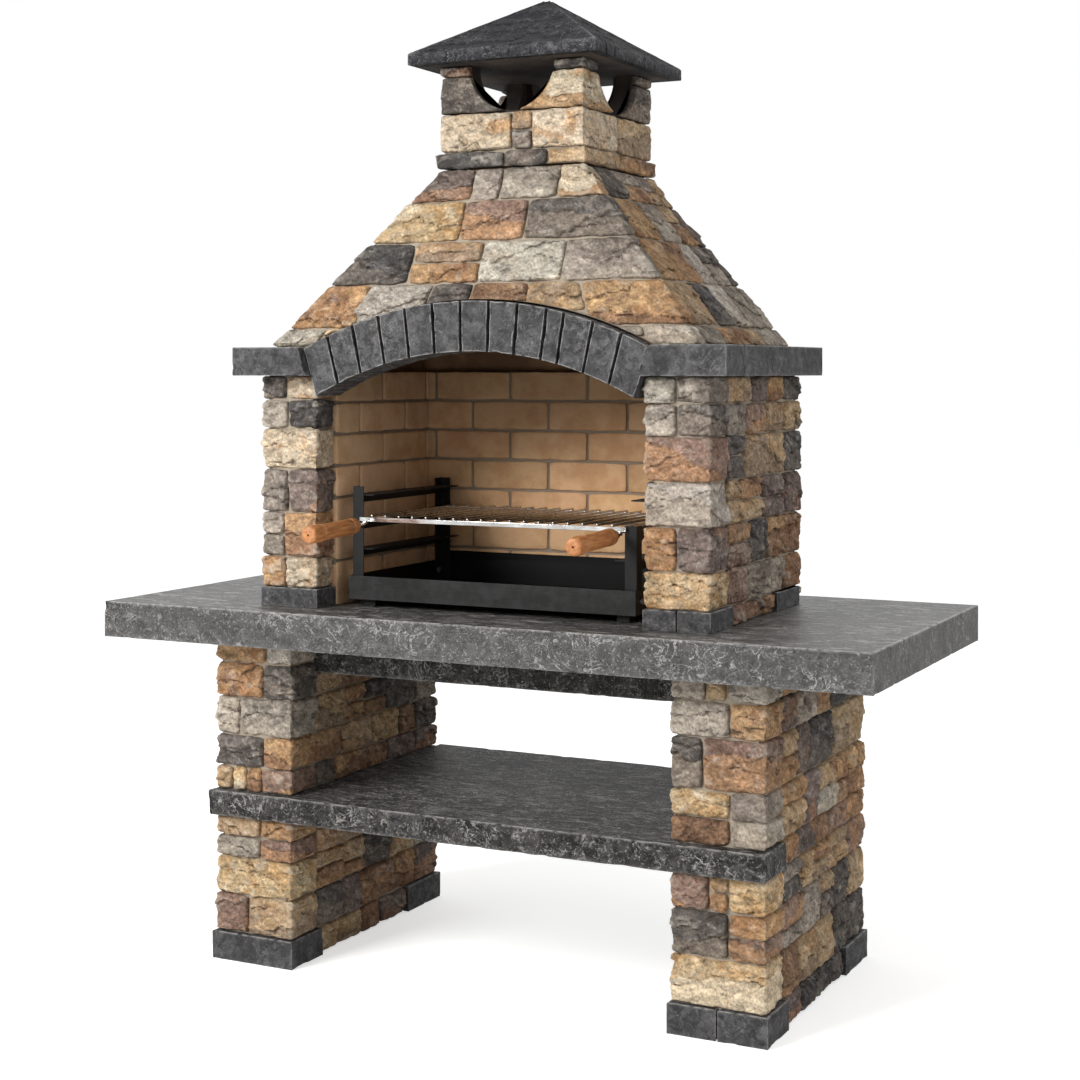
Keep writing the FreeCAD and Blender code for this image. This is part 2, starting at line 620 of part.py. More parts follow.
# Facing of the legs
RETURN = size("quoin_return")
THICK = size("stone_thickness")
FRONTS = {"left": (LEFT_LEG_LOWER, LEFT_LEG_UPPER), "right": (RIGHT_LEG_LOWER, RIGHT_LEG_UPPER)}
for number, side in enumerate(("left", "right")):
    x0, x1 = sorted((size("leg_inner") * (2 * number - 1), size("leg_outer") * (2 * number - 1)))
    plan = (x0, x1, size("leg_front"), size("leg_back"))
    leg = Facing(plan, plan, 0, size("worktop_bottom"), THICK)
    outer, inner = (0, 1) if side == "left" else (1, 0)
    tiers = ((size("plinth_height"), size("shelf_height")), (size("shelf_top"), size("worktop_bottom")))
    fronts, rears, inners, outers = [], [], [], []
    for tier, (low, high) in enumerate(tiers):
        courses = FRONTS[side][tier]
        fronts += end_face(leg, 2, courses, low, high, RETURN, RETURN)
        rear = rear_courses(courses, size("leg_width"), 11 + 2 * number + tier)
        rears += end_face(leg, 3, rear, low, high, RETURN, RETURN)
        levels = course_levels(courses, low, high)
        outers += side_face(leg, outer, RETURN, RETURN, levels, 31 + 2 * number + tier)
        inner_top = min(high, size("bearer_bottom"))
        levels = [z for z in levels if z < inner_top - 2 * size("stone_joint")] + [inner_top]
        inners += side_face(leg, inner, RETURN, RETURN, levels, 21 + 2 * number + tier)
    band = (size("shelf_height"), size("shelf_top"))
    outers += side_face(leg, outer, RETURN, RETURN, band, 41 + number)
    rears += end_face(leg, 3, [(1, uneven(size("leg_width"), size("side_stone"), 0.2, random.Random(51)))],
                      *band, RETURN if side == "left" else THICK, RETURN if side == "right" else THICK)
    front_end = size("plinth_length") - size("plinth_proud")
    rear_end = size("rear_plinth_length") - size("plinth_proud")
    for face, stones in ((outer, outers), (inner, inners)):
        foot = (0, size("plinth_height"))
        stones += side_face(leg, face, front_end, rear_end, foot, 61 + 2 * number + face)
    for part, stones in (("front", fronts), ("rear", rears), ("inner", inners), ("outer", outers)):
        plain(f"{side}_leg_{part}_stones", stones)

# Facing of the firebox
FLOOR = size("worktop_height")
FOOT = FLOOR + size("firebox_plinth_height")
CEILING = size("mantel_bottom")
firebox_plan = (-size("firebox_half"), size("firebox_half"), size("firebox_front"), size("firebox_back"))
firebox = Facing(firebox_plan, firebox_plan, FLOOR, CEILING, THICK)
for number, (side, courses) in enumerate((("left", LEFT_PILLAR), ("right", RIGHT_PILLAR))):
    sign = 2 * number - 1
    x0, x1 = sorted((sign * size("pillar_inner"), sign * size("firebox_half")))
    plan = (x0, x1, size("firebox_front"), size("firebox_back"))
    pillar = Facing(plan, plan, FLOOR, CEILING, THICK)
    returns = (RETURN, size("pillar_return")) if side == "left" else (size("pillar_return"), RETURN)
    plain(f"{side}_pillar_stones", end_face(pillar, 2, courses, FOOT, CEILING, *returns))
    levels = course_levels(courses, FOOT, CEILING)
    stones = side_face(firebox, number, RETURN, RETURN, levels, 71 + number)
    stones += side_face(firebox, number, size("firebox_plinth_length") - PROUD,
                        size("firebox_rear_plinth_length") + THICK, (FLOOR, FOOT), 81 + number)
    plain(f"{side}_firebox_stones", stones)
rear = rear_courses(RIGHT_PILLAR, 2 * size("firebox_half"), 91)
rear_stones = end_face(firebox, 3, rear, FOOT, CEILING, RETURN, RETURN)
foot_row = [(1, uneven(2 * size("firebox_half"), 1.4 * size("side_stone"), 0.3, random.Random(PATTERN_SEED)))]
plain("rear_firebox_stones", rear_stones + end_face(firebox, 3, foot_row, FLOOR, FOOT, THICK, THICK))

# Facing of the hood, cut round the arch
hood = Facing((-size("hood_half"), size("hood_half"), size("hood_front"), size("firebox_back")),
              (-size("chimney_half"), size("chimney_half"), size("chimney_front"), size("chimney_back")),
              size("mantel_top"), size("hood_top"), THICK)
HIP = size("hip_return")
doc.recompute()
SLIVER = (2 * size("stone_joint")) ** 2 * THICK


def cleared(stones, tool):
    """The stones less what a tool takes out of them, without the crumbs that it leaves."""
    kept = []
    for piece in stones:
        if piece.BoundBox.intersect(tool.BoundBox):
            kept += [part for part in piece.cut(tool).Solids if part.Volume > SLIVER]
        else:
            kept.append(piece)
    return kept


front = end_face(hood, 2, HOOD_FRONT, size("mantel_top"), size("hood_top"), HIP, HIP)
plain("hood_front_stones", cleared(front, arch_clear.Shape))
rear = rear_courses(HOOD_FRONT, size("hood_half") + size("chimney_half"), 101)
plain("hood_rear_stones", end_face(hood, 3, rear, size("mantel_top"), size("hood_top"), HIP, HIP))
for face, side in enumerate(("left", "right")):
    levels = course_levels(HOOD_FRONT, size("mantel_top"), size("hood_top"))
    plain(f"hood_{side}_stones", side_face(hood, face, HIP, HIP, levels, 111 + face))

# Facing of the chimney, cut round the smoke openings, and its collar course
chimney_plan = (-size("chimney_half"), size("chimney_half"), size("chimney_front"), size("chimney_back"))
chimney = Facing(chimney_plan, chimney_plan, size("collar_top"), size("cap_bottom"), THICK)
MIDWAY = size("chimney_depth") / 2
stones = []
for face in (2, 3):
    stones += end_face(chimney, face, CHIMNEY_FRONT, size("collar_top"), size("cap_bottom"), MIDWAY, MIDWAY)
plain("chimney_stones", cleared(stones, smoke_ways.Shape))
collar_plan = [edge + size("collar_proud") * (-1, 1, -1, 1)[i] for i, edge in enumerate(chimney_plan)]
collar = Facing(collar_plan, collar_plan, size("hood_top"), size("collar_top"), THICK + size("collar_proud"))
MIDWAY += size("collar_proud")
stones = []
for face in (2, 3):
    stones += end_face(collar, face, COLLAR_FRONT, size("hood_top"), size("collar_top"), MIDWAY, MIDWAY)
plain("chimney_collar", stones)


def brick_courses(start, end, place, shift):
    """Firebrick slips in running bond along a wall, with the courses counted down from the top."""
    joint = size("brick_joint")
    pitch = size("brick_length") + joint
    rise = size("brick_height") + joint
    top = size("mantel_bottom") + size("lining_rise")
    count = int((top - FLOOR) // rise)
    bricks = []
    for course in range(count):
        high = top - course * rise
        low = FLOOR if course == count - 1 else high - size("brick_height")
        seam = shift + pitch / 2 * (course % 2)
        seams = [seam + pitch * k for k in range(-4, 5) if start + joint < seam + pitch * k < end - joint]
        starts = [start] + [place_of_seam + joint / 2 for place_of_seam in seams]
        ends = [place_of_seam - joint / 2 for place_of_seam in seams] + [end]
        bricks += [place(left, right, low, high) for left, right in zip(starts, ends)]
    return bricks


def back_brick(left, right, low, high):
    """A brick of the back wall."""
    foot = Vector(left, size("lining_back"), low)
    return Part.makeBox(right - left, size("brick_thickness"), high - low, foot)


plain("back_wall_firebricks", brick_courses(-size("wall_inner"), size("wall_inner"), back_brick,
                                            size("brick_length") / 5))
for side, sign in (("left", -1), ("right", 1)):
    edge = min(sign * size("lining_half"), sign * size("wall_inner"))

    def side_brick(left, right, low, high):
        """A brick of a side wall."""
        return Part.makeBox(size("brick_thickness"), right - left, high - low, Vector(edge, left, low))

    plain(f"{side}_wall_firebricks", brick_courses(size("lining_front"), size("lining_back"), side_brick, 0))

# Fire tray: a folded tray with a tall back, on four feet
tray = doc.addObject("PartDesign::Body", "tray_body")
tray_rectangle = rectangle("-tray_half", "tray_half", "tray_front", "tray_back")
pad(tray, outline(tray, "tray_plan", "XY_Plane", tray_rectangle, "tray_bottom"), "tray_back_height")
inside = rectangle("-tray_inner", "tray_inner", "tray_front + tray_sheet", "tray_back - tray_sheet")
pocket(tray, outline(tray, "tray_inside", "XY_Plane", inside, "tray_floor"), "tray_back_height")
lip = rectangle("-tray_half", "tray_half", "tray_front", "tray_back - tray_sheet")
pocket(tray, outline(tray, "tray_lip", "XY_Plane", lip, "tray_bottom + tray_height"), "tray_back_height")
FOOT_X = ("tray_half - foot_inset - foot_width", "tray_half - foot_inset")
FOOT_Y = ("tray_front + foot_inset", "tray_back - foot_inset - foot_width")
feet = [box(f"foot_{side}_{y[:10]}", *span, y, f"{y} + foot_width", "tray_bottom - foot_height", "tray_bottom")
        for side, span in (("left", (f"-({FOOT_X[1]})", f"-({FOOT_X[0]})")), ("right", FOOT_X))
        for y in FOOT_Y]
node("tray_feet", group("tray_feet", feet))

# Angle frames: uprights bolted inside the tray's walls, and three rails on each side
TALL = "top_rail + upright_rise - tray_floor"
SHORT = "grid_top + short_upright_rise - tray_floor"


def upright(name, sign, y, turn, height):
    """An angle-iron post: one flange on the tray's wall, the other across its front or back."""
    post = doc.addObject("PartDesign::Body", name)
    thick = "angle_thickness"
    section = [("tray_inner", y), ("tray_inner", f"{y} {turn} upright_flange"),
               (f"tray_inner - {thick}", f"{y} {turn} upright_flange"),
               (f"tray_inner - {thick}", f"{y} {turn} {thick}"), ("upright_inner", f"{y} {turn} {thick}"),
               ("upright_inner", y)]
    corners = mirrored(section) if sign else section
    pad(post, outline(post, f"{name}_section", "XY_Plane", corners, "tray_floor"), height)
    return post


def rail(name, sign, top, start, end):
    """An angle-iron rail along Y: a flat ledge for the grid, with its outer flange hanging down."""
    bar = doc.addObject("PartDesign::Body", name)
    outer = "tray_inner - angle_thickness"
    section = [(outer, f"{top} - rail_drop"), (outer, top), (f"{outer} - rail_width", top),
               (f"{outer} - rail_width", f"{top} - angle_thickness"),
               (f"{outer} - angle_thickness", f"{top} - angle_thickness"),
               (f"{outer} - angle_thickness", f"{top} - rail_drop")]
    corners = mirrored(section) if sign else section
    pad(bar, outline(bar, f"{name}_section", "XZ_Plane", corners, f"-({end})"), f"{end} - ({start})")
    return bar


def bolt(name, sign, y):
    """A bolt through the tray's wall and an upright: a square neck in a square hole, a nut at each end."""
    wall = ("tray_inner - angle_thickness", "tray_half")
    wall = ("-tray_half", f"-({wall[0]})") if sign else wall
    height = "tray_floor + bolt_height"
    neck = box(f"{name}_neck", *wall, f"{y} - bolt_neck / 2", f"{y} + bolt_neck / 2",
               f"{height} - bolt_neck / 2", f"{height} + bolt_neck / 2")
    head = doc.addObject("Part::Prism", f"{name}_head")
    head.Polygon = 6
    head.Placement.Rotation = ALONG_X
    bind(head, Circumradius="bolt_head_width / sqrt(3)", Height="bolt_head_height", y=y,
         x=f"{sign}tray_half - bolt_head_height" if sign else "tray_half", z="tray_floor + bolt_height")
    nut = doc.addObject("Part::Prism", f"{name}_nut")
    nut.Polygon = 6
    nut.Placement.Rotation = ALONG_X
    inner = "tray_inner - angle_thickness"
    bind(nut, Circumradius="bolt_head_width / sqrt(3)", Height="bolt_head_height", y=y,
         x=f"{sign}({inner})" if sign else f"{inner} - bolt_head_height", z="tray_floor + bolt_height")
    whole = doc.addObject("Part::MultiFuse", name)
    whole.Shapes = [neck, head, nut]
    return neck, whole


FLANGE_MIDDLE = "(upright_flange + angle_thickness) / 2"
RAIL_START = "upright_front + angle_thickness"
RAIL_END = "upright_back - angle_thickness"
POST_FRONT = "upright_front + middle_post_setback"
holes, bolts = [], []
for side, sign in (("left", "-"), ("right", "")):
    front_height = TALL if sign else SHORT
    posts = [upright(f"{side}_front_post", sign, "upright_front", "+", front_height),
             upright(f"{side}_rear_post", sign, "upright_back", "-", TALL)]
    starts = [RAIL_START, RAIL_START, RAIL_START]
    spots = [f"upright_front + {FLANGE_MIDDLE}", f"upright_back - {FLANGE_MIDDLE}"]
    if not sign:
        posts.append(box("right_middle_post", "tray_inner - angle_thickness", "tray_inner", POST_FRONT,
                         f"{POST_FRONT} + upright_flange", "tray_floor", f"tray_floor + {TALL}"))
        starts[2] = POST_FRONT
        spots.append(f"{POST_FRONT} + upright_flange / 2")
    rails = [rail(f"{side}_rail_{level}", sign, level, start, RAIL_END)
             for level, start in zip(("low_rail", "grid_rail", "top_rail"), starts)]
    node(f"{side}_frame_rails", group(f"{side}_frame_rails", rails))
    side_holes = []
    for spot, y in enumerate(spots):
        neck, whole = bolt(f"{side}_bolt_{spot}", sign, y)
        side_holes.append(neck)
        bolts.append(whole)
    holes += side_holes
    node(f"{side}_frame_uprights", cut(f"{side}_frame_uprights", group(f"{side}_posts", posts),
                                       group(f"{side}_holes", side_holes)))
node("frame_bolts", group("frame_bolts", bolts))
node("fire_tray", cut("fire_tray", tray, group("tray_holes", holes)))

# Cooking grid: two flat bars and two side bars, with the rods laid across the flat bars
node("grid_front_bar", box("grid_front_bar", "-grid_half - bar_overhang", "grid_half + bar_overhang",
                           "grid_front", "grid_front + bar_thickness", "grid_bottom", "grid_top"))
node("grid_rear_bar", box("grid_rear_bar", "-grid_half", "grid_half", "grid_back - bar_thickness", "grid_back",
                          "grid_bottom", "grid_top"))
SIDE_BAR = ("grid_front + bar_thickness", "grid_back - bar_thickness", "grid_bottom", "grid_top")
node("grid_side_bars", group("grid_side_bars", [
    box("left_side_bar", "-grid_half", "bar_thickness - grid_half", *SIDE_BAR),
    box("right_side_bar", "grid_half - bar_thickness", "grid_half", *SIDE_BAR)]))
ROD_SIDES = 10
rods = []
for number in range(int(size("rod_count"))):
    bar = doc.addObject("Part::Prism", f"rod_{number}")
    bar.Polygon = ROD_SIDES
    bar.Placement.Rotation = Rotation(Vector(1, 0, 0), -90) * Rotation(Vector(0, 0, 1), 180 / ROD_SIDES)
    pitch = "2 * (grid_half - rod_margin) / (floor(rod_count) - 1)"
    rods.append(bind(bar, Circumradius="rod_diameter / 2", Height="grid_depth", y="grid_front",
                     x=f"-grid_half + rod_margin + {number} * {pitch}",
                     z=f"grid_top + rod_diameter / 2 * cos(180 / {ROD_SIDES})"))
node("grid_rods", group("grid_rods", rods))


def turned(name, sign, corners):
    """A turned piece on a handle's axis, from its profile's radii and distances out from the grid's front."""
    body = doc.addObject("PartDesign::Body", name)
    profile = outline(body, f"{name}_profile", "XY_Plane", [(radius, f"-({out})") for radius, out in corners])
    turn = body.newObject("PartDesign::Revolution", f"{name}_turn")
    turn.Profile = profile
    turn.ReferenceAxis = (profile, ["V_Axis"])
    body.Placement.Rotation = Rotation(Vector(1, 0, 0), size("handle_droop"))
    return bind(body, x=f"{sign}handle_x", y="grid_front", z="shank_z")


def grip_corners():
    """The grip's profile from its neck to its tip: a plain round grip, bored for the shank, with an eased tip."""
    near = "shank_reach"
    tip = "shank_reach + grip_length"
    full = "grip_diameter / 2"
    return [("shank_diameter / 2", near), (full, near), (full, f"{tip} - end_round"), (f"{full} - end_round", tip),
            ("0", tip), ("0", f"{near} + shank_insert"), ("shank_diameter / 2", f"{near} + shank_insert")]


shanks, ferrules = [], []
for side, sign in (("left", "-"), ("right", "")):
    shanks.append(turned(f"{side}_shank", sign, rectangle("0", "shank_diameter / 2", "-bar_thickness",
                                                          "shank_reach + shank_insert")))
    ferrules.append(turned(f"{side}_ferrule", sign, rectangle("shank_diameter / 2", "ferrule_diameter / 2",
                                                              "shank_reach - ferrule_length", "shank_reach")))
    node(f"{side}_handle_grip", turned(f"{side}_handle_grip", sign, grip_corners()))
node("handle_shanks", group("handle_shanks", shanks))
node("handle_ferrules", group("handle_ferrules", ferrules))

doc.recompute()
for thing in doc.Objects:
    if "Invalid" in thing.State or "Error" in thing.State:
        raise RuntimeError(f"{thing.Label} failed: {thing.State}")
for name, thing in NODES.items():
    if thing.Shape.isNull() or not thing.Shape.isValid():
        raise RuntimeError(f"{name} has no valid shape")

os.makedirs("parts", exist_ok=True)
for name, thing in NODES.items():
    thing.Shape.exportStep(f"parts/{name}.step")
print(len(NODES), "nodes", sum(len(thing.Shape.Solids) for thing in NODES.values()), "solids")
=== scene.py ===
import itertools
import math

import bmesh
import bpy
import numpy as np
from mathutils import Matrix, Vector


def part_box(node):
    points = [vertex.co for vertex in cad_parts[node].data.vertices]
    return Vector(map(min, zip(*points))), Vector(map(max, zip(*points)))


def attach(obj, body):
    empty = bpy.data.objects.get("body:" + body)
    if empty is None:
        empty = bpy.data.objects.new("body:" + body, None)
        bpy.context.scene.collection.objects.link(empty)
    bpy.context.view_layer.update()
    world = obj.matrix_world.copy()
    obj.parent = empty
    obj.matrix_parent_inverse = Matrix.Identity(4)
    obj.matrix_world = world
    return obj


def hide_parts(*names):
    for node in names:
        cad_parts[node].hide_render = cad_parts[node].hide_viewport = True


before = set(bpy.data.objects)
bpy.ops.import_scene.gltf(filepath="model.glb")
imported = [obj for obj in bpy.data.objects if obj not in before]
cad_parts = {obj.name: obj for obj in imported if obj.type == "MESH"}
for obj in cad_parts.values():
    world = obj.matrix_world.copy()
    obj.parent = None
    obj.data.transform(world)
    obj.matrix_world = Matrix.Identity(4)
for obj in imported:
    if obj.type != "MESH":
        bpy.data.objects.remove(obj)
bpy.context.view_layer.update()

# Plinth blocks of the legs
# Squared basalt blocks that stand on the ground under the corners of each leg and stick out past its stones.
# Their sides are pitched with a chisel, so they are pitted, with painted shade in the pits, and their arrises
# are chipped and worn pale, with a painted highlight along them.


def solids(node):
    """The separate solids of a node as arrays of corners: corners that coincide are merged, then every
    corner takes the lowest label among the corners that it shares a triangle with, until none changes."""
    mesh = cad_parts[node].data
    mesh.calc_loop_triangles()
    corners = np.empty(len(mesh.vertices) * 3, np.float32)
    mesh.vertices.foreach_get("co", corners)
    triangles = np.empty(len(mesh.loop_triangles) * 3, np.int32)
    mesh.loop_triangles.foreach_get("vertices", triangles)
    grain = 1e5
    keys, merged = np.unique(np.round(corners.reshape(-1, 3) * grain), axis=0, return_inverse=True)
    triangles = merged.ravel()[triangles].reshape(-1, 3)
    label = np.arange(len(keys))
    while True:
        lowest = label.copy()
        np.minimum.at(lowest, triangles.ravel(), np.repeat(label[triangles].min(axis=1), 3))
        if (lowest == label).all():
            return [keys[label == one] / grain for one in np.unique(label)]
        label = lowest


def lattice_noise(points, cell, seed):
    """A random height from -1 to 1 at each corner of a cubic lattice, blended over each cube by a smooth
    fifth-power step. The height is a hash of the corner's three whole numbers and the seed."""
    place = points / cell
    base = np.floor(place).astype(np.int64)
    part = place - base
    part = part * part * part * (part * (part * 6 - 15) + 10)
    total = np.zeros(len(points))
    for corner in itertools.product((0, 1), repeat=3):
        at = base + corner
        mixed = at[:, 0] * 73856093 ^ at[:, 1] * 19349663 ^ at[:, 2] * 83492791 ^ (seed * 1013904223 + 7)
        mixed = (mixed ^ mixed >> 13) * 1274126177
        height = ((mixed ^ mixed >> 16) & 0xFFFF) / 32767.5 - 1
        total += np.where(corner, part, 1 - part).prod(axis=1) * height
    return total


def grain_of(points, cell, octaves, seed):
    """Sum of lattice noises, each with half the cell and half the height of the one before."""
    return sum(lattice_noise(points, cell / 2**o, seed + o) / 2**o for o in range(octaves))


def spread(length, arris, step):
    """Distances along an edge, without its end: close within two arrises of both ends, then every step."""
    close = np.array([0, 0.35, 1.0, 2.0]) * min(arris, length / 6)
    steps = max(1, round((length - 2 * close[-1]) / step))
    inner = np.linspace(close[-1], length - close[-1], steps + 1)[1:-1]
    return np.concatenate([close, inner, length - close[:0:-1]])


def ring_points(outline, side, along):
    """Points on a closed outline, each at a share of the way along one of its sides."""
    return outline[side] * (1 - along) + np.roll(outline, -1, axis=0)[side] * along


def ring_faces(rows, columns):
    """The faces of closed rings that are stacked in rows, and the rings at both ends as caps."""
    index = np.arange(rows * columns).reshape(rows, columns)
    turned = np.roll(index, -1, axis=1)
    quads = np.stack([index[:-1], turned[:-1], turned[1:], index[1:]], axis=-1).reshape(-1, 4)
    return {"quads": quads, "caps": [index[0, ::-1], index[-1]]}


def hewn_block(low, high, z0, z1, step, pitted, arris, seed, crown=0, rims=0):
    """A block whose outline, divided every `step`, is carried from the low outline at z0 to the high one
    at z1. Each point is drawn in along the outline's normal by noise, by a quarter round at the arrises and
    by chips there. Both ends are closed by polygons inside `rims` mitred rings, over which the wear and its
    painted highlight fade.
    An upper end that shows as a face has `crown` rings that shrink to its middle."""
    low, high = np.asarray(low, float), np.asarray(high, float)
    ahead = np.roll(low, -1, axis=0)
    lengths = np.linalg.norm(ahead - low, axis=1)
    shares = [spread(length, arris, step) / length for length in lengths]
    side = np.repeat(np.arange(len(low)), [len(one) for one in shares])
    along = np.concatenate(shares)[:, None]
    rings = [ring_points(outline, side, along) for outline in (low, high)]
    course = (ahead - low) / lengths[:, None]
    out = np.stack([course[:, 1], -course[:, 0]], axis=1)
    corner = (along[:, 0] == 0)[:, None]
    normal = np.where(corner, out[side] + np.roll(out, 1, axis=0)[side], out[side])
    normal /= np.linalg.norm(normal, axis=1)[:, None]
    reach = np.minimum(along[:, 0], 1 - along[:, 0]) * lengths[side]

    rise = np.append(spread(z1 - z0, arris, step), z1 - z0)
    edge = np.minimum(rise, rise[-1] - rise)
    height = np.repeat(rise[:, None], len(side), axis=1)
    share = (height / rise[-1])[..., None]
    plan = rings[0] * (1 - share) + rings[1] * share
    points = np.concatenate([plan, (z0 + height)[..., None]], axis=2)
    flat = points.reshape(-1, 3)
    pits = (grain_of(flat, 5 * step, 4, seed)).reshape(height.shape)
    chips = np.clip(lattice_noise(flat, 4 * step, seed + 31).reshape(height.shape) - 0.25, 0, 1) * 3 * arris
    near = np.minimum(edge[:, None], reach[None, :])
    rounded_bed, rounded_end = (np.clip(1 - d / arris, 0, 1) ** 2 for d in (edge[:, None], reach[None, :]))
    inward = pitted * (0.55 - 0.45 * pits) * np.clip(near / (2 * arris), 0.25, 1)
    inward = inward + arris * (rounded_bed + 0.5 * rounded_end) + chips * np.exp(-near / (2.5 * arris))
    points[..., :2] -= normal[None] * inward[..., None]
    # Edge wear that the finishes mix pale: worn arrises with a painted highlight along them.
    worn = np.exp(-near / arris)
    relief, level = pits, 0 * pits
    mitre = (out + np.roll(out, 1, axis=0)) / (1 + (out * np.roll(out, 1, axis=0)).sum(axis=1))[:, None]
    for inset in np.array([3.6, 9.0])[:rims] * arris:
        fade = np.full((1, len(side)), math.exp(-inset / arris))
        ends = []
        for outline, z in ((low, z0), (high, z1)):
            plan = ring_points(outline - mitre * inset, side, along)
            ends.append(np.append(plan, np.full((len(side), 1), z), axis=1)[None])
        points = np.concatenate([ends[0], points, ends[1]])
        worn = np.concatenate([fade, worn, fade])
        relief = np.concatenate([0 * fade, relief, 0 * fade])
        level = np.concatenate([0 * fade + 1, level, 0 * fade + 1])
    rows, columns = worn.shape
    if crown:
        centre = points[-1].mean(axis=0)
        shrink = np.concatenate([[0.98, 0.95], np.linspace(0.9, 0, crown)[:-1]])[:, None, None]
        cover = centre + (points[-1] - centre) * shrink
        bumps = grain_of(cover.reshape(-1, 3), 5 * step, 4, seed + 5).reshape(cover.shape[:2])
        cover[..., 2] -= pitted * (0.5 - 0.5 * bumps)
        points = np.concatenate([points, cover])
        relief, level = np.concatenate([relief, bumps]), np.concatenate([level, 0 * bumps])
        distance = np.linalg.norm(points[rows - 1] - cover, axis=2)
        worn = np.concatenate([worn, np.exp(-distance / arris)])
        rows += len(cover)
    return {"points": points.reshape(-1, 3), **ring_faces(rows, columns),
            "worn": worn.ravel(), "relief": relief.ravel(), "level": level.ravel()}


def plain_block(outline, z0, z1, rough, seed, step=0.012):
    """A block of one outline carried from z0 to z1, whose pits and arrises have one size."""
    return hewn_block(outline, outline, z0, z1, step, rough, rough, seed)


def placed(name, data):
    """A new object of this data, in the scene."""
    made = bpy.data.objects.new(name, data)
    bpy.context.scene.collection.objects.link(made)
    return made


def make_piece(name, shapes, finish, body, replaced=(), soft_edge=50):
    """One mesh of all the shapes, with their point values as attributes, on a body and in place of nodes."""
    starts = np.cumsum([0] + [len(shape["points"]) for shape in shapes])
    points = np.concatenate([shape["points"] for shape in shapes])
    faces = []
    for start, shape in zip(starts, shapes):
        faces += (shape["quads"] + start).tolist()
        faces += [(cap + start).tolist() for cap in shape.get("caps", [])]
    mesh = bpy.data.meshes.new(name)
    mesh.from_pydata(points.tolist(), [], faces)
    for key in sorted(shapes[0].keys() - {"points", "quads", "caps"}):
        values = np.concatenate([shape[key] for shape in shapes]).astype(np.float32)
        kind = "FLOAT" if values.ndim == 1 else "FLOAT_COLOR"
        entry = "value" if values.ndim == 1 else "color"
        mesh.attributes.new(key, kind, "POINT").data.foreach_set(entry, values.ravel())
    mesh.shade_smooth()
    mesh.set_sharp_from_angle(angle=math.radians(soft_edge))
    mesh.materials.append(finish.material)
    made = placed(name, mesh)
    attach(made, body)
    if replaced:
        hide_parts(*replaced)


class Shade:
    """A socket of a finish. Arithmetic on it adds Math nodes."""

    def __init__(self, finish, socket):
        self.finish = finish
        self.socket = socket

    def joined(self, operation, first, second):
        return self.finish.node("ShaderNodeMath", {"operation": operation}, {0: first, 1: second})

    def __add__(self, other):
        return self.joined("ADD", self, other)

    def __sub__(self, other):
        return self.joined("SUBTRACT", self, other)

    def __rsub__(self, other):
        return self.joined("SUBTRACT", other, self)

    def __mul__(self, other):
        return self.joined("MULTIPLY", self, other)

    __radd__ = __add__
    __rmul__ = __mul__


class Finish:
    """A procedural material. node() adds any node; its settings are set first, then its sockets."""

    def __init__(self, name):
        self.material = bpy.data.materials.new(name)
        self.material.use_nodes = True
        self.tree = self.material.node_tree
        self.shader = self.tree.nodes["Principled BSDF"]

    def feed(self, socket, value):
        if isinstance(value, Shade):
            self.tree.links.new(value.socket, socket)
        else:
            socket.default_value = value

    def node(self, kind, settings, sockets, output=0):
        made = self.tree.nodes.new(kind)
        for key, value in settings.items():
            setattr(made, key, value)
        for key, value in sockets.items():
            self.feed(made.inputs[key], value)
        return Shade(self, made.outputs[output])

    def place(self, stretch=(1, 1, 1)):
        where = self.node("ShaderNodeTexCoord", {}, {}, "Object")
        return self.node("ShaderNodeMapping", {}, {"Vector": where, "Scale": stretch})

    def cloud(self, scale, detail=5, where=None, swirl=0.0, rough=0.55):
        return self.node("ShaderNodeTexNoise", {},
                         {"Vector": where or self.place(), "Scale": scale, "Detail": detail,
                          "Roughness": rough, "Distortion": swirl})

    def between(self, value, start, end):
        return self.node("ShaderNodeMapRange", {"interpolation_type": "SMOOTHSTEP"},
                         {"Value": value, "From Min": start, "From Max": end})

    def mixed(self, share, first, second, way="MIX"):
        return self.node("ShaderNodeMix", {"data_type": "RGBA", "blend_type": way},
                         {0: share, 6: first, 7: second}, 2)

    def number(self, name):
        return self.node("ShaderNodeAttribute", {"attribute_name": name}, {}, "Fac")

    def tone(self, name):
        return self.node("ShaderNodeAttribute", {"attribute_name": name}, {}, "Color")

    def done(self, **sockets):
        for key, value in sockets.items():
            self.feed(self.shader.inputs[key.replace("_", " ")], value)
        return self

    def bump(self, height, deep, strength=1.0):
        return self.node("ShaderNodeBump", {}, {"Height": height, "Distance": deep, "Strength": strength})


def colour(red, green, blue):
    """A colour written as it looks on a screen, from 0 to 255, as the linear values that a shader takes."""
    value = np.array([red, green, blue]) / 255
    linear = np.where(value <= 0.04045, value / 12.92, ((value + 0.055) / 1.055) ** 2.4)
    return (*linear.tolist(), 1.0)


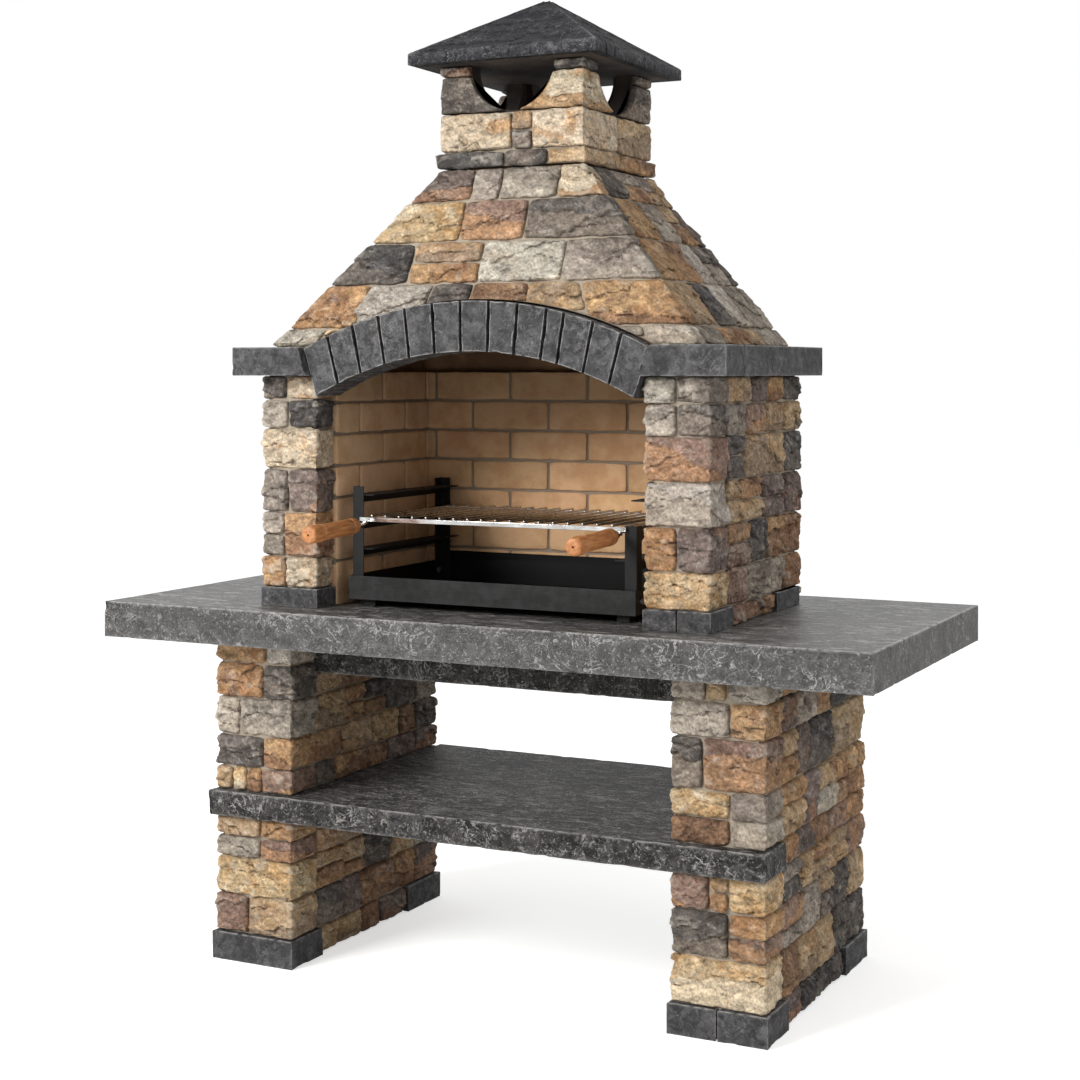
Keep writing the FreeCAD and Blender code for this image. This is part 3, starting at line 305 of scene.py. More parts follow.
def basalt_finish(name, deep, plain, fleck, worn, gloss, flecked, lie=(1, 1, 1), sheen=0.22, streaked=0.0):
    """Grey basalt: close clouds of tone, pale flakes, hair veins, dark holes, painted shade where the relief
    sinks, and arrises worn pale with a painted highlight along them. The level faces of a sawn one are
    streaked along X, pale and dark."""
    stone = Finish(name)
    where = stone.place(lie)
    grain = stone.cloud(42, 9, where, 0.7, 0.7)
    body = stone.mixed(stone.between(grain, 0.36, 0.64), colour(*deep), colour(*plain))
    broad = stone.between(stone.cloud(9, 5, where, 1.2), 0.36, 0.62)
    body = stone.mixed((1 - broad) * 0.45, body, colour(*deep))
    flakes = stone.between(stone.cloud(64, 8, where, 0.8, 0.76), 0.54, 0.62)
    body = stone.mixed(flakes * flecked, body, colour(*fleck))
    ridge = stone.node("ShaderNodeMath", {"operation": "ABSOLUTE"},
                       {0: stone.cloud(21, 7, where, 1.6, 0.6) - 0.5})
    veins = stone.between(ridge, 0.016, 0.0) * stone.between(stone.cloud(14, 3), 0.44, 0.6)
    body = stone.mixed(veins * flecked, body, colour(*worn))
    saw_way = stone.place((0.4, 1.25, 0.6))
    sawn = stone.number("level") * streaked
    pale_streaks = stone.between(stone.cloud(38, 8, saw_way, 1.0, 0.74), 0.5, 0.64)
    body = stone.mixed(pale_streaks * sawn, body, colour(*worn))
    dark_streaks = stone.between(stone.cloud(22, 8, saw_way, 1.0, 0.72), 0.47, 0.34)
    body = stone.mixed(dark_streaks * sawn, body, colour(*deep))
    sparks = stone.between(stone.cloud(200, 4, rough=0.7), 0.57, 0.66)
    body = stone.mixed(sparks * (0.6 * flecked), body, colour(*worn))
    holes = stone.between(stone.cloud(150, 4), 0.36, 0.26)
    body = stone.mixed(holes * 0.5, body, colour(26, 25, 25))
    # Painted shade where the relief sinks: in the pits of hewn faces and just under the lap of each slate
    # course.
    pits = stone.between(stone.number("relief"), 0.0, -0.7)
    body = stone.mixed(pits * 0.4, body, colour(*deep))
    # Arrises worn pale, which is also a painted highlight along them.
    worn_and_highlit = stone.number("worn") * stone.number("worn") * stone.between(stone.cloud(60, 5), 0.34, 0.56)
    body = stone.mixed(worn_and_highlit * 0.65, body, colour(*worn))
    height = grain + flakes * 0.3 + stone.cloud(260, 4) * 0.35 - holes * 0.4
    return stone.done(Base_Color=body, Roughness=gloss + 0.3 * (grain - 0.5), Specular_IOR_Level=sheen,
                      Normal=stone.bump(height, 0.004, 0.8))


def rectangle(x0, x1, y0, y1):
    """The four corners of a level rectangle, turning left."""
    return [(x0, y0), (x1, y0), (x1, y1), (x0, y1)]


def plinth_blocks(node, seed):
    """The blocks of a node and its joints: two blocks side by side close up to a thin joint of mortar."""
    boxes = sorted([[*corners.min(axis=0), *corners.max(axis=0)] for corners in solids(node)])
    joints = []
    for left, right in itertools.combinations(boxes, 2):
        gap = right[0] - left[3]
        if 0 < gap < wide_joint and abs(right[1] - left[1]) < wide_joint:
            closing = (gap - thin_joint) / 2
            left[3] += closing
            right[0] -= closing
            rear = min(left[4], right[4])
            outline = rectangle(left[3] - joint_lap, right[0] + joint_lap,
                                left[1] + joint_depth, rear - joint_depth)
            z0, z1 = left[2] + joint_foot, left[5] - joint_top
            joints.append(plain_block(outline, z0, z1, joint_rough, seed, plinth_step))
    blocks = []
    for number, (x0, y0, z0, x1, y1, z1) in enumerate(boxes):
        outline = rectangle(x0, x1, y0, y1)
        blocks.append(hewn_block(outline, outline, z0, z1, plinth_step, plinth_pits, plinth_arris,
                                 seed + number, rims=2))
    return blocks, joints


hewn_basalt = basalt_finish("hewn_basalt", (44, 43, 44), (93, 92, 93), (156, 154, 151), (190, 188, 185),
                            0.66, 0.24)
plinth_step, plinth_pits, plinth_arris = 0.006, 0.0016, 0.0022
wide_joint, thin_joint, joint_depth = 0.012, 0.0022, 0.0075
joint_lap, joint_foot, joint_top, joint_rough = 0.002, 0.001, 0.004, 0.001
mortar = Finish("sandy_mortar")
sand = mortar.mixed(mortar.cloud(18, 5), colour(140, 128, 113), colour(186, 174, 156))
sand = mortar.mixed(mortar.between(mortar.cloud(420, 2), 0.55, 0.7) * 0.4, sand, colour(104, 94, 82))
mortar_height = mortar.cloud(60, 6) + mortar.cloud(500, 3) * 0.5
mortar.done(Base_Color=sand, Roughness=0.95, Specular_IOR_Level=0.2, Normal=mortar.bump(mortar_height, 0.004))
for side in ("left", "right"):
    blocks, joints = plinth_blocks(f"{side}_leg_plinth", 11)
    make_piece(f"{side}_leg_plinth_blocks", blocks, hewn_basalt, "masonry", [f"{side}_leg_plinth"])
    if joints:
        make_piece(f"{side}_leg_plinth_joints", joints, mortar, "masonry")

# Mortar and block core of the legs
# A core of concrete blocks, pointed with sandy mortar that fills the joints between the facing stones.
# The pointing stands a few millimetres behind the faces of the stones.
worktop_low, worktop_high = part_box("worktop_slab")
core_foot, core_rough = 0.004, 0.003
leg_plan = {}
for side in ("left", "right"):
    front_low, front_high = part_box(f"{side}_leg_front_stones")
    rear_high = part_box(f"{side}_leg_rear_stones")[1]
    leg_plan[side] = (front_low.x, front_high.x, front_low.y, rear_high.y)
    x0, x1, y0, y1 = leg_plan[side]
    outline = rectangle(x0 + joint_depth, x1 - joint_depth, y0 + joint_depth, y1 - joint_depth)
    core = plain_block(outline, core_foot, worktop_low.z, core_rough, 41)
    make_piece(f"{side}_leg_mortar", [core], mortar, "masonry",
               [f"{side}_leg_lower_core", f"{side}_leg_upper_core"])

# Facing stones of the legs
# Split sandstone, granite and quartzite in tan, orange, brown and grey, bedded in mortar on the core. Long
# stones turn the corners. The faces are split, not sawn, so each has ledges, bumps and a rolled rim.
stone_tones = {
    "C": ((224, 207, 180), (206, 183, 152), (192, 150, 106)),
    "Y": ((222, 194, 152), (202, 160, 108), (238, 220, 188)),
    "T": ((206, 178, 142), (182, 146, 106), (160, 138, 116)),
    "O": ((206, 167, 124), (178, 132, 93), (152, 114, 88)),
    "B": ((166, 130, 100), (128, 97, 75), (190, 150, 110)),
    "R": ((168, 139, 122), (138, 109, 95), (194, 150, 110)),
    "P": ((142, 125, 117), (106, 93, 88), (172, 132, 105)),
    "L": ((212, 203, 189), (186, 175, 160), (198, 184, 164)),
    "G": ((172, 160, 146), (136, 126, 116), (196, 184, 168)),
    "D": ((116, 109, 103), (84, 79, 76), (150, 136, 122)),
    "K": ((92, 90, 89), (66, 64, 64), (122, 114, 106)),
}
# Each letter is a kind of stone, with the tones of its face, its veins and its stains. The mix holds a kind
# as many times as it is likely to be drawn.
stone_mix = "TTTTTYYYOOOBBRRPPGGGDDKLLC"


def rounded_path(path, radius, count=240):
    """A path divided evenly, with each point moved to the mean of its neighbours within the radius, and the
    outward normals, which point to the right of the way along it."""
    path = np.asarray(path, float)
    lengths = np.linalg.norm(np.diff(path, axis=0), axis=1)
    travelled = np.concatenate([[0], np.cumsum(lengths)])
    at = np.linspace(0, travelled[-1], count)
    points = np.stack([np.interp(at, travelled, path[:, k]) for k in (0, 1)], axis=1)
    reach = int(radius / travelled[-1] * count)
    if len(path) > 2 and reach:
        first = points[0] + (points[0] - points[1]) * np.arange(reach, 0, -1)[:, None]
        last = points[-1] + (points[-1] - points[-2]) * np.arange(1, reach + 1)[:, None]
        padded = np.concatenate([first, points, last])
        window = np.ones(2 * reach + 1) / (2 * reach + 1)
        points = np.stack([np.convolve(padded[:, k], window, "valid") for k in (0, 1)], axis=1)
    way = np.gradient(points, axis=0)
    way /= np.linalg.norm(way, axis=1)[:, None]
    return points, np.stack([way[:, 1], -way[:, 0]], axis=1), travelled[-1]


def grown(path, more):
    """A path with both ends carried on by a length."""
    path = np.array(path, float)
    first, last = path[0] - path[1], path[-1] - path[-2]
    path[0] += first / np.linalg.norm(first) * more
    path[-1] += last / np.linalg.norm(last) * more
    return path


def shards(spot, size, rng):
    """Split faces: every point takes the tilted plane of the nearest of a scatter of points, so that planes
    meet in sharp steps. Noise bends the borders, and cells are wider than they are tall."""
    bent = spot[:, :2] + np.stack([grain_of(spot, size, 3, 5 + k) for k in (0, 9)], axis=1) * size * 0.45
    low, high = bent.min(axis=0), bent.max(axis=0)
    count = int(np.prod(np.maximum((high - low) / size, 1)) / 1.5) + 2
    seeds = rng.uniform(low, high, (count, 2))
    tilt = rng.uniform(-1, 1, (count, 2)) / size
    level = rng.uniform(-1, 1, count)
    offset = bent[:, None] - seeds[None]
    nearest = np.argmin((offset * [0.7, 1.2]) ** 2 @ np.ones(2), axis=1)
    away = bent - seeds[nearest]
    return np.clip(0.55 * level[nearest] + 0.75 * (away * tilt[nearest]).sum(axis=1), -1.2, 1.2)


def fractures(along, up, spot, seed, rng):
    """Ledges left by the split. Each follows a line that wanders across the face by noise. Over the line the
    face stands out and sinks back within a few centimetres; under it the face drops to a crack, darkened by
    painted shadow. Returns the height, the crack with its painted shadow and a mark for what lies under the
    first line."""
    stray, crack_below, crack_width = 0.011, 0.0012, 0.0017
    long, tall = along.max(), up.max()
    height, crack_and_shadow, under = np.zeros((3, *along.shape))
    for line in range(1 + int(tall > 0.06) + int(tall * long > 0.012)):
        turn = rng.uniform(-0.45, 0.45)
        level, middle = rng.uniform(0.2, 0.8) * tall, rng.uniform(0.2, 0.8) * long
        noise = grain_of(spot, 0.045, 4, seed + 7 * line + 3).reshape(along.shape)
        off = (up - level) * math.cos(turn) - (along - middle) * math.sin(turn) + stray * noise
        fading = lattice_noise(spot, 0.05, seed + 7 * line + 5).reshape(along.shape)
        strong = np.clip(0.6 + 1.3 * fading, 0, 1)
        height = np.maximum(height, np.clip(1 - off / rng.uniform(0.018, 0.04), 0, 1) * (off > 0) * strong)
        crack_and_shadow = np.maximum(crack_and_shadow, np.exp(-((off + crack_below) / crack_width) ** 2) * strong)
        under = (off < 0) * 1.0 if line == 0 else under
    return height, crack_and_shadow, under


def split_stone(low, high, z0, z1, cut, letter, seed):
    """A facing stone on a grid of the way along its path and the height. Its face stands off the path by a
    swell in the middle, a lean, noise, split shards and ledges, and rolls back at the rim to its bed. The rim
    wanders by noise. A strip behind closes it."""
    rng = np.random.default_rng(seed)
    low, high = (grown(path, cut["grow"]) for path in (low, high))
    z0, z1 = z0 - cut["grow"], z1 + cut["grow"]
    low_at, low_out, low_long = rounded_path(low, cut["turn"])
    high_at, high_out, high_long = rounded_path(high, cut["turn"])
    long, tall = (low_long + high_long) / 2, z1 - z0
    rim = min(cut["rim"], 0.3 * tall, 0.3 * long)
    edge = np.array([0, 0.18, 0.5, 1.0]) * rim

    def spaced(size):
        inner = np.linspace(rim, size - rim, max(3, round((size - 2 * rim) / cut["step"])) + 1)[1:-1]
        return np.concatenate([edge, inner, size - edge[::-1]])

    along, up = np.meshgrid(spaced(long), spaced(tall), indexing="ij")
    u, v = along / long, up / tall
    shape = u.shape
    spot = np.stack([along + seed * 0.37, up, np.full(shape, seed * 0.11)], axis=-1).reshape(-1, 3)
    stray = [grain_of(spot, cut["roam"], 2, seed + k).reshape(shape) * cut["wander"] for k in (50, 60)]
    drift_u = np.abs(2 * u - 1) * stray[0] / long
    drift_v = np.abs(2 * v - 1) * stray[1] / tall
    tuck_u, tuck_v = cut["corner"] / long, cut["corner"] / tall
    across = 0.5 + (u - 0.5) * (1 - 2 * tuck_u * np.abs(2 * v - 1) ** 6) + drift_u
    upright = 0.5 + (v - 0.5) * (1 - 2 * tuck_v * np.abs(2 * u - 1) ** 6) + drift_v

    def carried(values):
        step_at = np.linspace(0, 1, len(values))
        return np.stack([np.interp(across, step_at, values[:, k]) for k in (0, 1)], axis=-1)

    share = upright[..., None]
    foot = carried(low_at) * (1 - share) + carried(high_at) * share
    out = carried(low_out) * (1 - share) + carried(high_out) * share
    out /= np.linalg.norm(out, axis=-1)[..., None]

    swell = cut["swell"] * rng.uniform(0.4, 1.3) * (1 - (2 * u - 1) ** 4) * (1 - (2 * v - 1) ** 4)
    lean = cut["lean"] * (rng.uniform(-1, 1) * (u - 0.5) + rng.uniform(-1, 1) * (v - 0.5))
    ledges = (shards(spot, cut["shard"], rng) + 0.35 * shards(spot, cut["shard"] * 0.4, rng)).reshape(shape)
    fine = grain_of(spot, cut["roam"] * 0.5, 3, seed + 20).reshape(shape)
    lip, crack_and_shadow, under = fractures(along, up, spot, seed, rng)
    arris = np.clip(2 * np.linalg.norm(np.gradient(out, axis=0), axis=-1), 0, 1)
    # The relief is high on ridges, ledge lips and turned arrises and low in hollows and cracks; the facing
    # paints shade and highlight from it.
    relief = 0.45 * ledges + 0.35 * fine + (0.5 * lip - 1.6 * crack_and_shadow) * (cut["ledge"] > 0) + 0.35 * arris
    layer = under * (rng.random() < 0.5)
    near = np.minimum(np.clip(1 - np.minimum(along, long - along) / rim, 0, 1) ** 2
                      + np.clip(1 - np.minimum(up, tall - up) / rim, 0, 1) ** 2, 1.3)
    stand = swell + lean + cut["rough"] * (0.7 * ledges + 0.65 * fine) - cut["roll"] * near
    stand = stand + cut["ledge"] * (lip - 0.3 * crack_and_shadow) * (near == 0)
    points = np.concatenate([foot + out * stand[..., None], (z0 + upright * tall)[..., None]], axis=-1)
    bed = np.concatenate([foot - out * cut["depth"], (z0 + upright * tall)[..., None]], axis=-1)

    columns, rows = shape
    index = np.arange(columns * rows).reshape(shape)
    front = np.stack([index[:-1, :-1], index[1:, :-1], index[1:, 1:], index[:-1, 1:]], axis=-1)
    quads = [front.reshape(-1, 4)]
    border = np.concatenate([index[:-1, 0], index[-1, :-1], index[:0:-1, -1], index[0, :0:-1]])
    behind = columns * rows + np.arange(len(border))
    quads.append(np.stack([border, behind, np.roll(behind, -1), np.roll(border, -1)], axis=-1))
    lower = behind[:columns]
    upper = behind[columns + rows - 2:2 * columns + rows - 2][::-1]
    quads.append(np.stack([lower[:-1], upper[:-1], upper[1:], lower[1:]], axis=-1))
    caps = [behind[columns - 1:columns + rows - 1], np.append(behind[2 * columns + rows - 3:], behind[0])]
    total = columns * rows + len(border)
    shift = np.array([*(rng.uniform(0.9, 1.1) * rng.uniform(0.985, 1.015, 3)), 1.0])
    tint, vein, stain = (np.tile(np.array(colour(*tone)) * shift, (total, 1)) for tone in stone_tones[letter])
    # The strip behind has the lowest relief, so it takes painted shade in the joints.
    return {"points": np.concatenate([points.reshape(-1, 3), bed.reshape(-1, 3)[border]]),
            "quads": np.concatenate(quads), "caps": caps,
            "relief": np.append(relief.ravel(), np.full(len(border), -1.0)),
            "layer": np.append(layer.ravel(), np.zeros(len(border))),
            "tint": tint, "vein": vein, "stain": stain}


def ring_path(level, plan):
    """The way that a stone takes along the faced outline at one height, left side, front, right side, then
    rear. It starts and ends where the stone's own corners on that outline do."""
    x0, x1, y0, y1 = plan
    left, right = level[level[:, 0] < x0 + near_by], level[level[:, 0] > x1 - near_by]
    front, rear = level[level[:, 1] < y0 + near_by], level[level[:, 1] > y1 - near_by]
    if len(front) > 1 and np.ptp(front[:, 0]) > near_by:
        start = [(x0, left[:, 1].max()), (x0, y0)] if len(left) > 1 else [(front[:, 0].min(), y0)]
        end = [(x1, y0), (x1, right[:, 1].max())] if len(right) > 1 else [(front[:, 0].max(), y0)]
        return start + end
    if len(rear) > 1 and np.ptp(rear[:, 0]) > near_by:
        start = [(x1, right[:, 1].min()), (x1, y1)] if len(right) > 1 else [(rear[:, 0].max(), y1)]
        end = [(x0, y1), (x0, left[:, 1].min())] if len(left) > 1 else [(rear[:, 0].min(), y1)]
        return start + end
    if len(left) > 1:
        return [(x0, left[:, 1].max()), (x0, left[:, 1].min())]
    if len(right) > 1:
        return [(x1, right[:, 1].min()), (x1, right[:, 1].max())]
    return []


def faced(node, plan, cut, letters="", seed=0):
    """The stones of a node in order of height, then of place. Each takes the next letter, or one from the
    mix. Where the arch cuts the foot of a stone, its foot is its top carried down the leaning wall."""
    rng = np.random.default_rng(seed)
    found = []
    for corners in solids(node):
        z0, z1 = corners[:, 2].min(), corners[:, 2].max()
        levels = [corners[np.abs(corners[:, 2] - z) < same_level] for z in (z0, z1)]
        low, high = (ring_path(level, plan(z)) for level, z in zip(levels, (z0, z1)))
        x0, x1, y0, y1 = plan(z0)
        wider = (x1 - x0) / (plan(z1)[1] - plan(z1)[0])
        uncut = 0.97 if wider > 1.001 else 0.5
        if len(low) != len(high) or abs(low[-1][0] - low[0][0]) < uncut * abs(high[-1][0] - high[0][0]):
            low = [(x * wider, y0 if y < plan(z1)[2] + near_by else y) for x, y in high]
        order = (round(z1, 3), round(corners[:, 1].min(), 2), round(corners[:, 0].min(), 3))
        found.append((order, low, high, z0, z1))
    found.sort(key=lambda one: one[0])
    made = []
    for number, (_, low, high, z0, z1) in enumerate(found):
        letter = letters[number] if number < len(letters) else rng.choice(list(stone_mix))
        made.append(split_stone(low, high, z0, z1, cut, letter, seed * 1000 + number))
    return made


same_level, near_by = 0.0004, 0.002
facing_cut = {"depth": 0.0155, "rim": 0.0045, "roll": 0.006, "swell": 0.0014, "lean": 0.004,
              "rough": 0.0044, "ledge": 0.0048, "shard": 0.042, "roam": 0.03, "wander": 0.0018,
              "corner": 0.0024, "turn": 0.0035, "step": 0.0036, "grow": 0.0019}
facing = Finish("split_facing_stone")
patches = facing.between(facing.cloud(13, 8, swirl=0.9, rough=0.66), 0.42, 0.62)
face = facing.mixed(patches * 0.9, facing.tone("tint"), facing.tone("vein"))
stained = facing.between(facing.cloud(8, 6, swirl=1.1, rough=0.6), 0.54, 0.66) + facing.number("layer") * 0.8
face = facing.mixed(facing.between(stained, 0.0, 1.0) * 0.85, face, facing.tone("stain"))
mottle = 0.5 + 1.3 * facing.cloud(55, 9, swirl=0.5, rough=0.74)
grit = facing.cloud(135, 6, rough=0.75)
face = facing.mixed(1.0, face, mottle * (0.3 + 2.0 * grit), "MULTIPLY")
pale = facing.between(facing.cloud(38, 8, swirl=0.9, rough=0.7), 0.54, 0.68)
face = facing.mixed(pale * 0.45, face, colour(234, 224, 208))
scoops = facing.node("ShaderNodeTexNoise", {"noise_type": "RIDGED_MULTIFRACTAL"},
                     {"Vector": facing.place((1, 1, 1.5)), "Scale": 17, "Detail": 5, "Roughness": 0.6})
# Painted highlight on the crests of the ridged noise, and below, painted shade in its valleys; the same noise
# raises the bump.
painted_crest_highlight = facing.between(scoops, 0.9, 1.5)
face = facing.mixed(painted_crest_highlight * 0.3, face, colour(240, 231, 216))
face = facing.mixed(facing.between(scoops, 0.45, 0.1) * 0.3, face, colour(70, 58, 50))
layers = facing.cloud(13, 4, facing.place((1, 1, 1.8)), 0.5) * 8
saw = facing.node("ShaderNodeMath", {"operation": "FRACT"}, {0: layers})
broken = facing.between(facing.cloud(20, 3), 0.46, 0.58)
# Thin dark lines under the steps of the layers: painted shadow, with a small step in the bump.
crack_and_shadow = facing.between(saw, 0.1, 0.0) * broken
face = facing.mixed(crack_and_shadow * 0.4, face, colour(54, 44, 37))
chipped = facing.cloud(36, 6, rough=0.58)
above = facing.node("ShaderNodeMapping", {}, {"Vector": facing.place(), "Location": (0.0012, 0.0012, 0.004)})
# The noise less itself shifted upwards: facets that face up are painted lighter and those that face down
# darker, as painted light and shade, with a painted highlight where it is brightest.
painted_facet_light = chipped - facing.cloud(36, 6, above, rough=0.58)
face = facing.mixed(1.0, face, 0.9 + 3.3 * painted_facet_light, "MULTIPLY")
face = facing.mixed(facing.between(painted_facet_light, 0.04, 0.14) * 0.14, face, colour(246, 238, 224))
# Painted shade where the relief sinks, in hollows, cracks and on the strip behind the face, and painted
# highlight where it rises, on ridges, ledge lips and arrises.
painted_hollow_shade = facing.between(facing.number("relief"), -0.1, -1.1)
face = facing.mixed(painted_hollow_shade * 0.64, face, colour(58, 47, 40))
painted_ridge_highlight = facing.between(facing.number("relief"), 0.25, 1.0)
face = facing.mixed(painted_ridge_highlight * 0.35, face, colour(238, 228, 212))
speck = facing.between(facing.cloud(240, 4), 0.4, 0.3)
face = facing.mixed(speck * 0.55, face, colour(62, 52, 46))
pitting = facing.cloud(60, 9, swirl=0.3, rough=0.72)
face_height = saw * broken * 0.5 + scoops * 0.45 + chipped * 1.3 + pitting * 0.6 + grit * 0.8
facing.done(Base_Color=face, Roughness=0.86, Specular_IOR_Level=0.25, Normal=facing.bump(face_height, 0.011))

leg_letters = {
    "left": {"front": "RT" + "Y" + "GR" + "TO" + "TYOR" + "DO" + "LG" + "OD" + "OL",
             "inner": "TTBP" + "DPBO" + "BBTTKT" + "OBBTDT" + "DOBP" + "OTYB" + "BOTOKD" + "TBKG",
             "rear": "TP" + "YG" + "BD" + "TG" + "OP" + "GD" + "TG" + "RD" + "YG"},
    "right": {"front": "Y" + "R" + "DO" + "O" + "RTY" + "BL" + "YG" + "DR" + "GO" + "GTL",
              "outer": ("PKKD" + "DBTTD" + "GDRGTD" + "TDTGTOT" + "OPBR" + "BLTOPTO" + "OTPKT" + "PGBK"
                        + "BTTB"),
              "rear": "TD" + "GT" + "YR" + "BT" + "TO" + "PT" + "OD" + "GT"},
}
leg_faces = itertools.product(("left", "right"), ("front", "rear", "inner", "outer"))
for number, (side, face_of_leg) in enumerate(leg_faces):
    node = f"{side}_leg_{face_of_leg}_stones"
    stones = faced(node, lambda z, plan=leg_plan[side]: plan, facing_cut,
                   leg_letters[side].get(face_of_leg, ""), 100 + number)
    make_piece(f"{node}_split", stones, facing, "masonry", [node])

# Lower shelf, bearer and worktop
# Three sawn basalt slabs. The shelf passes through the legs, the bearer spans them under the worktop, and the
# worktop lies on both. Their tops are brushed, with streaks from the saw, and their edges are pitched rough.
slab_lie = (0.8, 1.2, 0.9)
brushed_basalt = basalt_finish("brushed_basalt", (30, 29, 28), (78, 76, 74), (160, 157, 153),
                               (206, 203, 199), 0.4, 0.6, slab_lie, 0.58, 0.47)
shaded_basalt = basalt_finish("shelf_basalt", (28, 27, 27), (76, 74, 73), (158, 155, 151),
                              (196, 193, 189), 0.52, 0.74, slab_lie, 0.1, 0.32)
slab_step, slab_pits, slab_arris = 0.0065, 0.0024, 0.003
touch, inside_by = 0.001, 0.01
ear = np.concatenate(solids("lower_shelf"))
ear_x, ear_y = ear[:, 0].max(), ear[ear[:, 0] > ear[:, 0].max() - touch][:, 1].max()
run = ear[(ear[:, 1] > ear_y + inside_by) & (ear[:, 1] < ear[:, 1].max() - inside_by)]
rear = ear[ear[:, 1] > ear[:, 1].max() - touch]
body_x, body_y, rear_x, rear_y = run[:, 0].max(), run[:, 1].max(), rear[:, 0].max(), rear[:, 1].max()
half = [(ear_x, ear[:, 1].min()), (ear_x, ear_y), (body_x, ear_y), (body_x, body_y), (rear_x, body_y),
        (rear_x, rear_y)]
plans = {"lower_shelf": half + [(-x, y) for x, y in half[::-1]]}
for number, node in enumerate(("lower_shelf", "bearer_slab", "worktop_slab")):
    low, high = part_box(node)
    outline = plans.get(node, rectangle(low.x, high.x, low.y, high.y))
    slab = hewn_block(outline, outline, low.z, high.z, slab_step, slab_pits, slab_arris, 71 + number, rims=2)
    finish = brushed_basalt if node == "worktop_slab" else shaded_basalt
    make_piece(f"{node}_hewn", [slab], finish, "masonry", [node])

# Firebox plinths
# Smaller basalt blocks that start the firebox on the worktop, bedded at the feet of both pillars and at the
# rear corners.
blocks, joints = plinth_blocks("firebox_plinths", 91)
make_piece("firebox_plinth_blocks", blocks, hewn_basalt, "masonry", ["firebox_plinths"])
make_piece("firebox_plinth_joints", joints, mortar, "masonry")

# Firebox walls
# Block walls on both sides and behind, pointed outside with mortar like the legs. Their inside carries the
# firebrick lining.
pillar_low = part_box("right_pillar_stones")[0]
rear_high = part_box("rear_firebox_stones")[1]
side_low, side_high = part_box("right_firebox_stones")
lining_low, lining_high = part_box("right_wall_firebricks")
back_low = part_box("back_wall_firebricks")[0]
mantel_low, mantel_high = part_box("right_mantel_slab")
brick_joint, behind_face = 0.004, 0.02
for side, sign in (("left", -1), ("right", 1)):
    inner, outer = lining_low.x + behind_face, side_high.x - joint_depth
    x0, x1 = sorted((sign * inner, sign * outer))
    outline = rectangle(x0, x1, pillar_low.y + joint_depth, rear_high.y - joint_depth)
    wall = plain_block(outline, worktop_high.z, mantel_low.z, core_rough, 45)
    make_piece(f"{side}_wall_mortar", [wall], mortar, "masonry", [f"{side}_side_wall"])
outline = rectangle(-lining_high.x, lining_high.x, back_low.y + behind_face, rear_high.y - joint_depth)
wall = plain_block(outline, worktop_high.z, mantel_low.z, core_rough, 46)
make_piece("back_wall_mortar", [wall], mortar, "masonry", ["back_wall"])

# Facing stones of the firebox
# The same split stone as on the legs. Each pillar has its own corner stones, which turn into the opening.
pillar_letters = {"left": "OC" + "G" + "GO" + "GP" + "C" + "GK" + "DC",
                  "right": "Y" + "OP" + "L" + "R" + "GD" + "LG"}
side_letters = {
    "right_firebox": "RPB" + "GRGG" + "RBKO" + "PTTTBP" + "DKTT" + "GRT" + "TPO",
    "rear_firebox": ("TGBYPTG" + "TOYGTBLOT" + "GOTPYOGTB" + "YPGTBLYTD" + "BKTOGYPTL" + "LTRTDYGOT"
                     + "ODTBGYLTP"),
}
firebox_plan = (-side_high.x, side_high.x, side_low.y, rear_high.y)
for number, side in enumerate(("left", "right")):
    low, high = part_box(f"{side}_pillar_stones")
    plan = (low.x, high.x, low.y, rear_high.y)
    node = f"{side}_pillar_stones"
    stones = faced(node, lambda z, plan=plan: plan, facing_cut, pillar_letters[side], 120 + number)
    make_piece(f"{side}_pillar_split", stones, facing, "masonry", [node])
for number, side in enumerate(("left_firebox", "right_firebox", "rear_firebox")):
    node = f"{side}_stones"
    stones = faced(node, lambda z: firebox_plan, facing_cut, side_letters.get(side, ""), 130 + number)
    make_piece(f"{side}_split", stones, facing, "masonry", [node])

# Firebrick lining
# Buff fireclay bricks in running bond on the three inner walls, with grey refractory mortar raked back
# between them. Their faces are wire cut and a little uneven, and they darken towards the hood with soot
# and painted shade.
brick_cut = {"depth": 0.0275, "rim": 0.0025, "roll": 0.0022, "swell": 0.0004, "lean": 0.0012,
             "rough": 0.0012, "ledge": 0, "shard": 0.05, "roam": 0.03, "wander": 0.001,
             "corner": 0.0015, "turn": 0.004, "step": 0.009, "grow": 0.0008}
# F is the brick of the back wall. S, for the side walls, is a lighter copy of it: painted light that makes up
# for the shade on the side walls.
stone_tones["F"] = ((216, 175, 132), (198, 154, 111), (198, 154, 111))
stone_tones["S"] = ((232, 195, 155), (214, 175, 133), (214, 175, 133))
soot_and_shade_from, soot_and_shade_full = 1.05, 1.42


def soot_and_shade_upward(finish, body):
    """Soot and painted shade that thicken with height in the firebox and break up in clouds."""
    height = finish.node("ShaderNodeSeparateXYZ", {}, {"Vector": finish.place()}, "Z")
    # Darker towards the hood: soot, and painted shade under the arch and the mantel.
    black = finish.between(height + 0.12 * finish.cloud(6, 4), soot_and_shade_from, soot_and_shade_full)
    return finish.mixed(black * 0.42, body, colour(60, 44, 32))


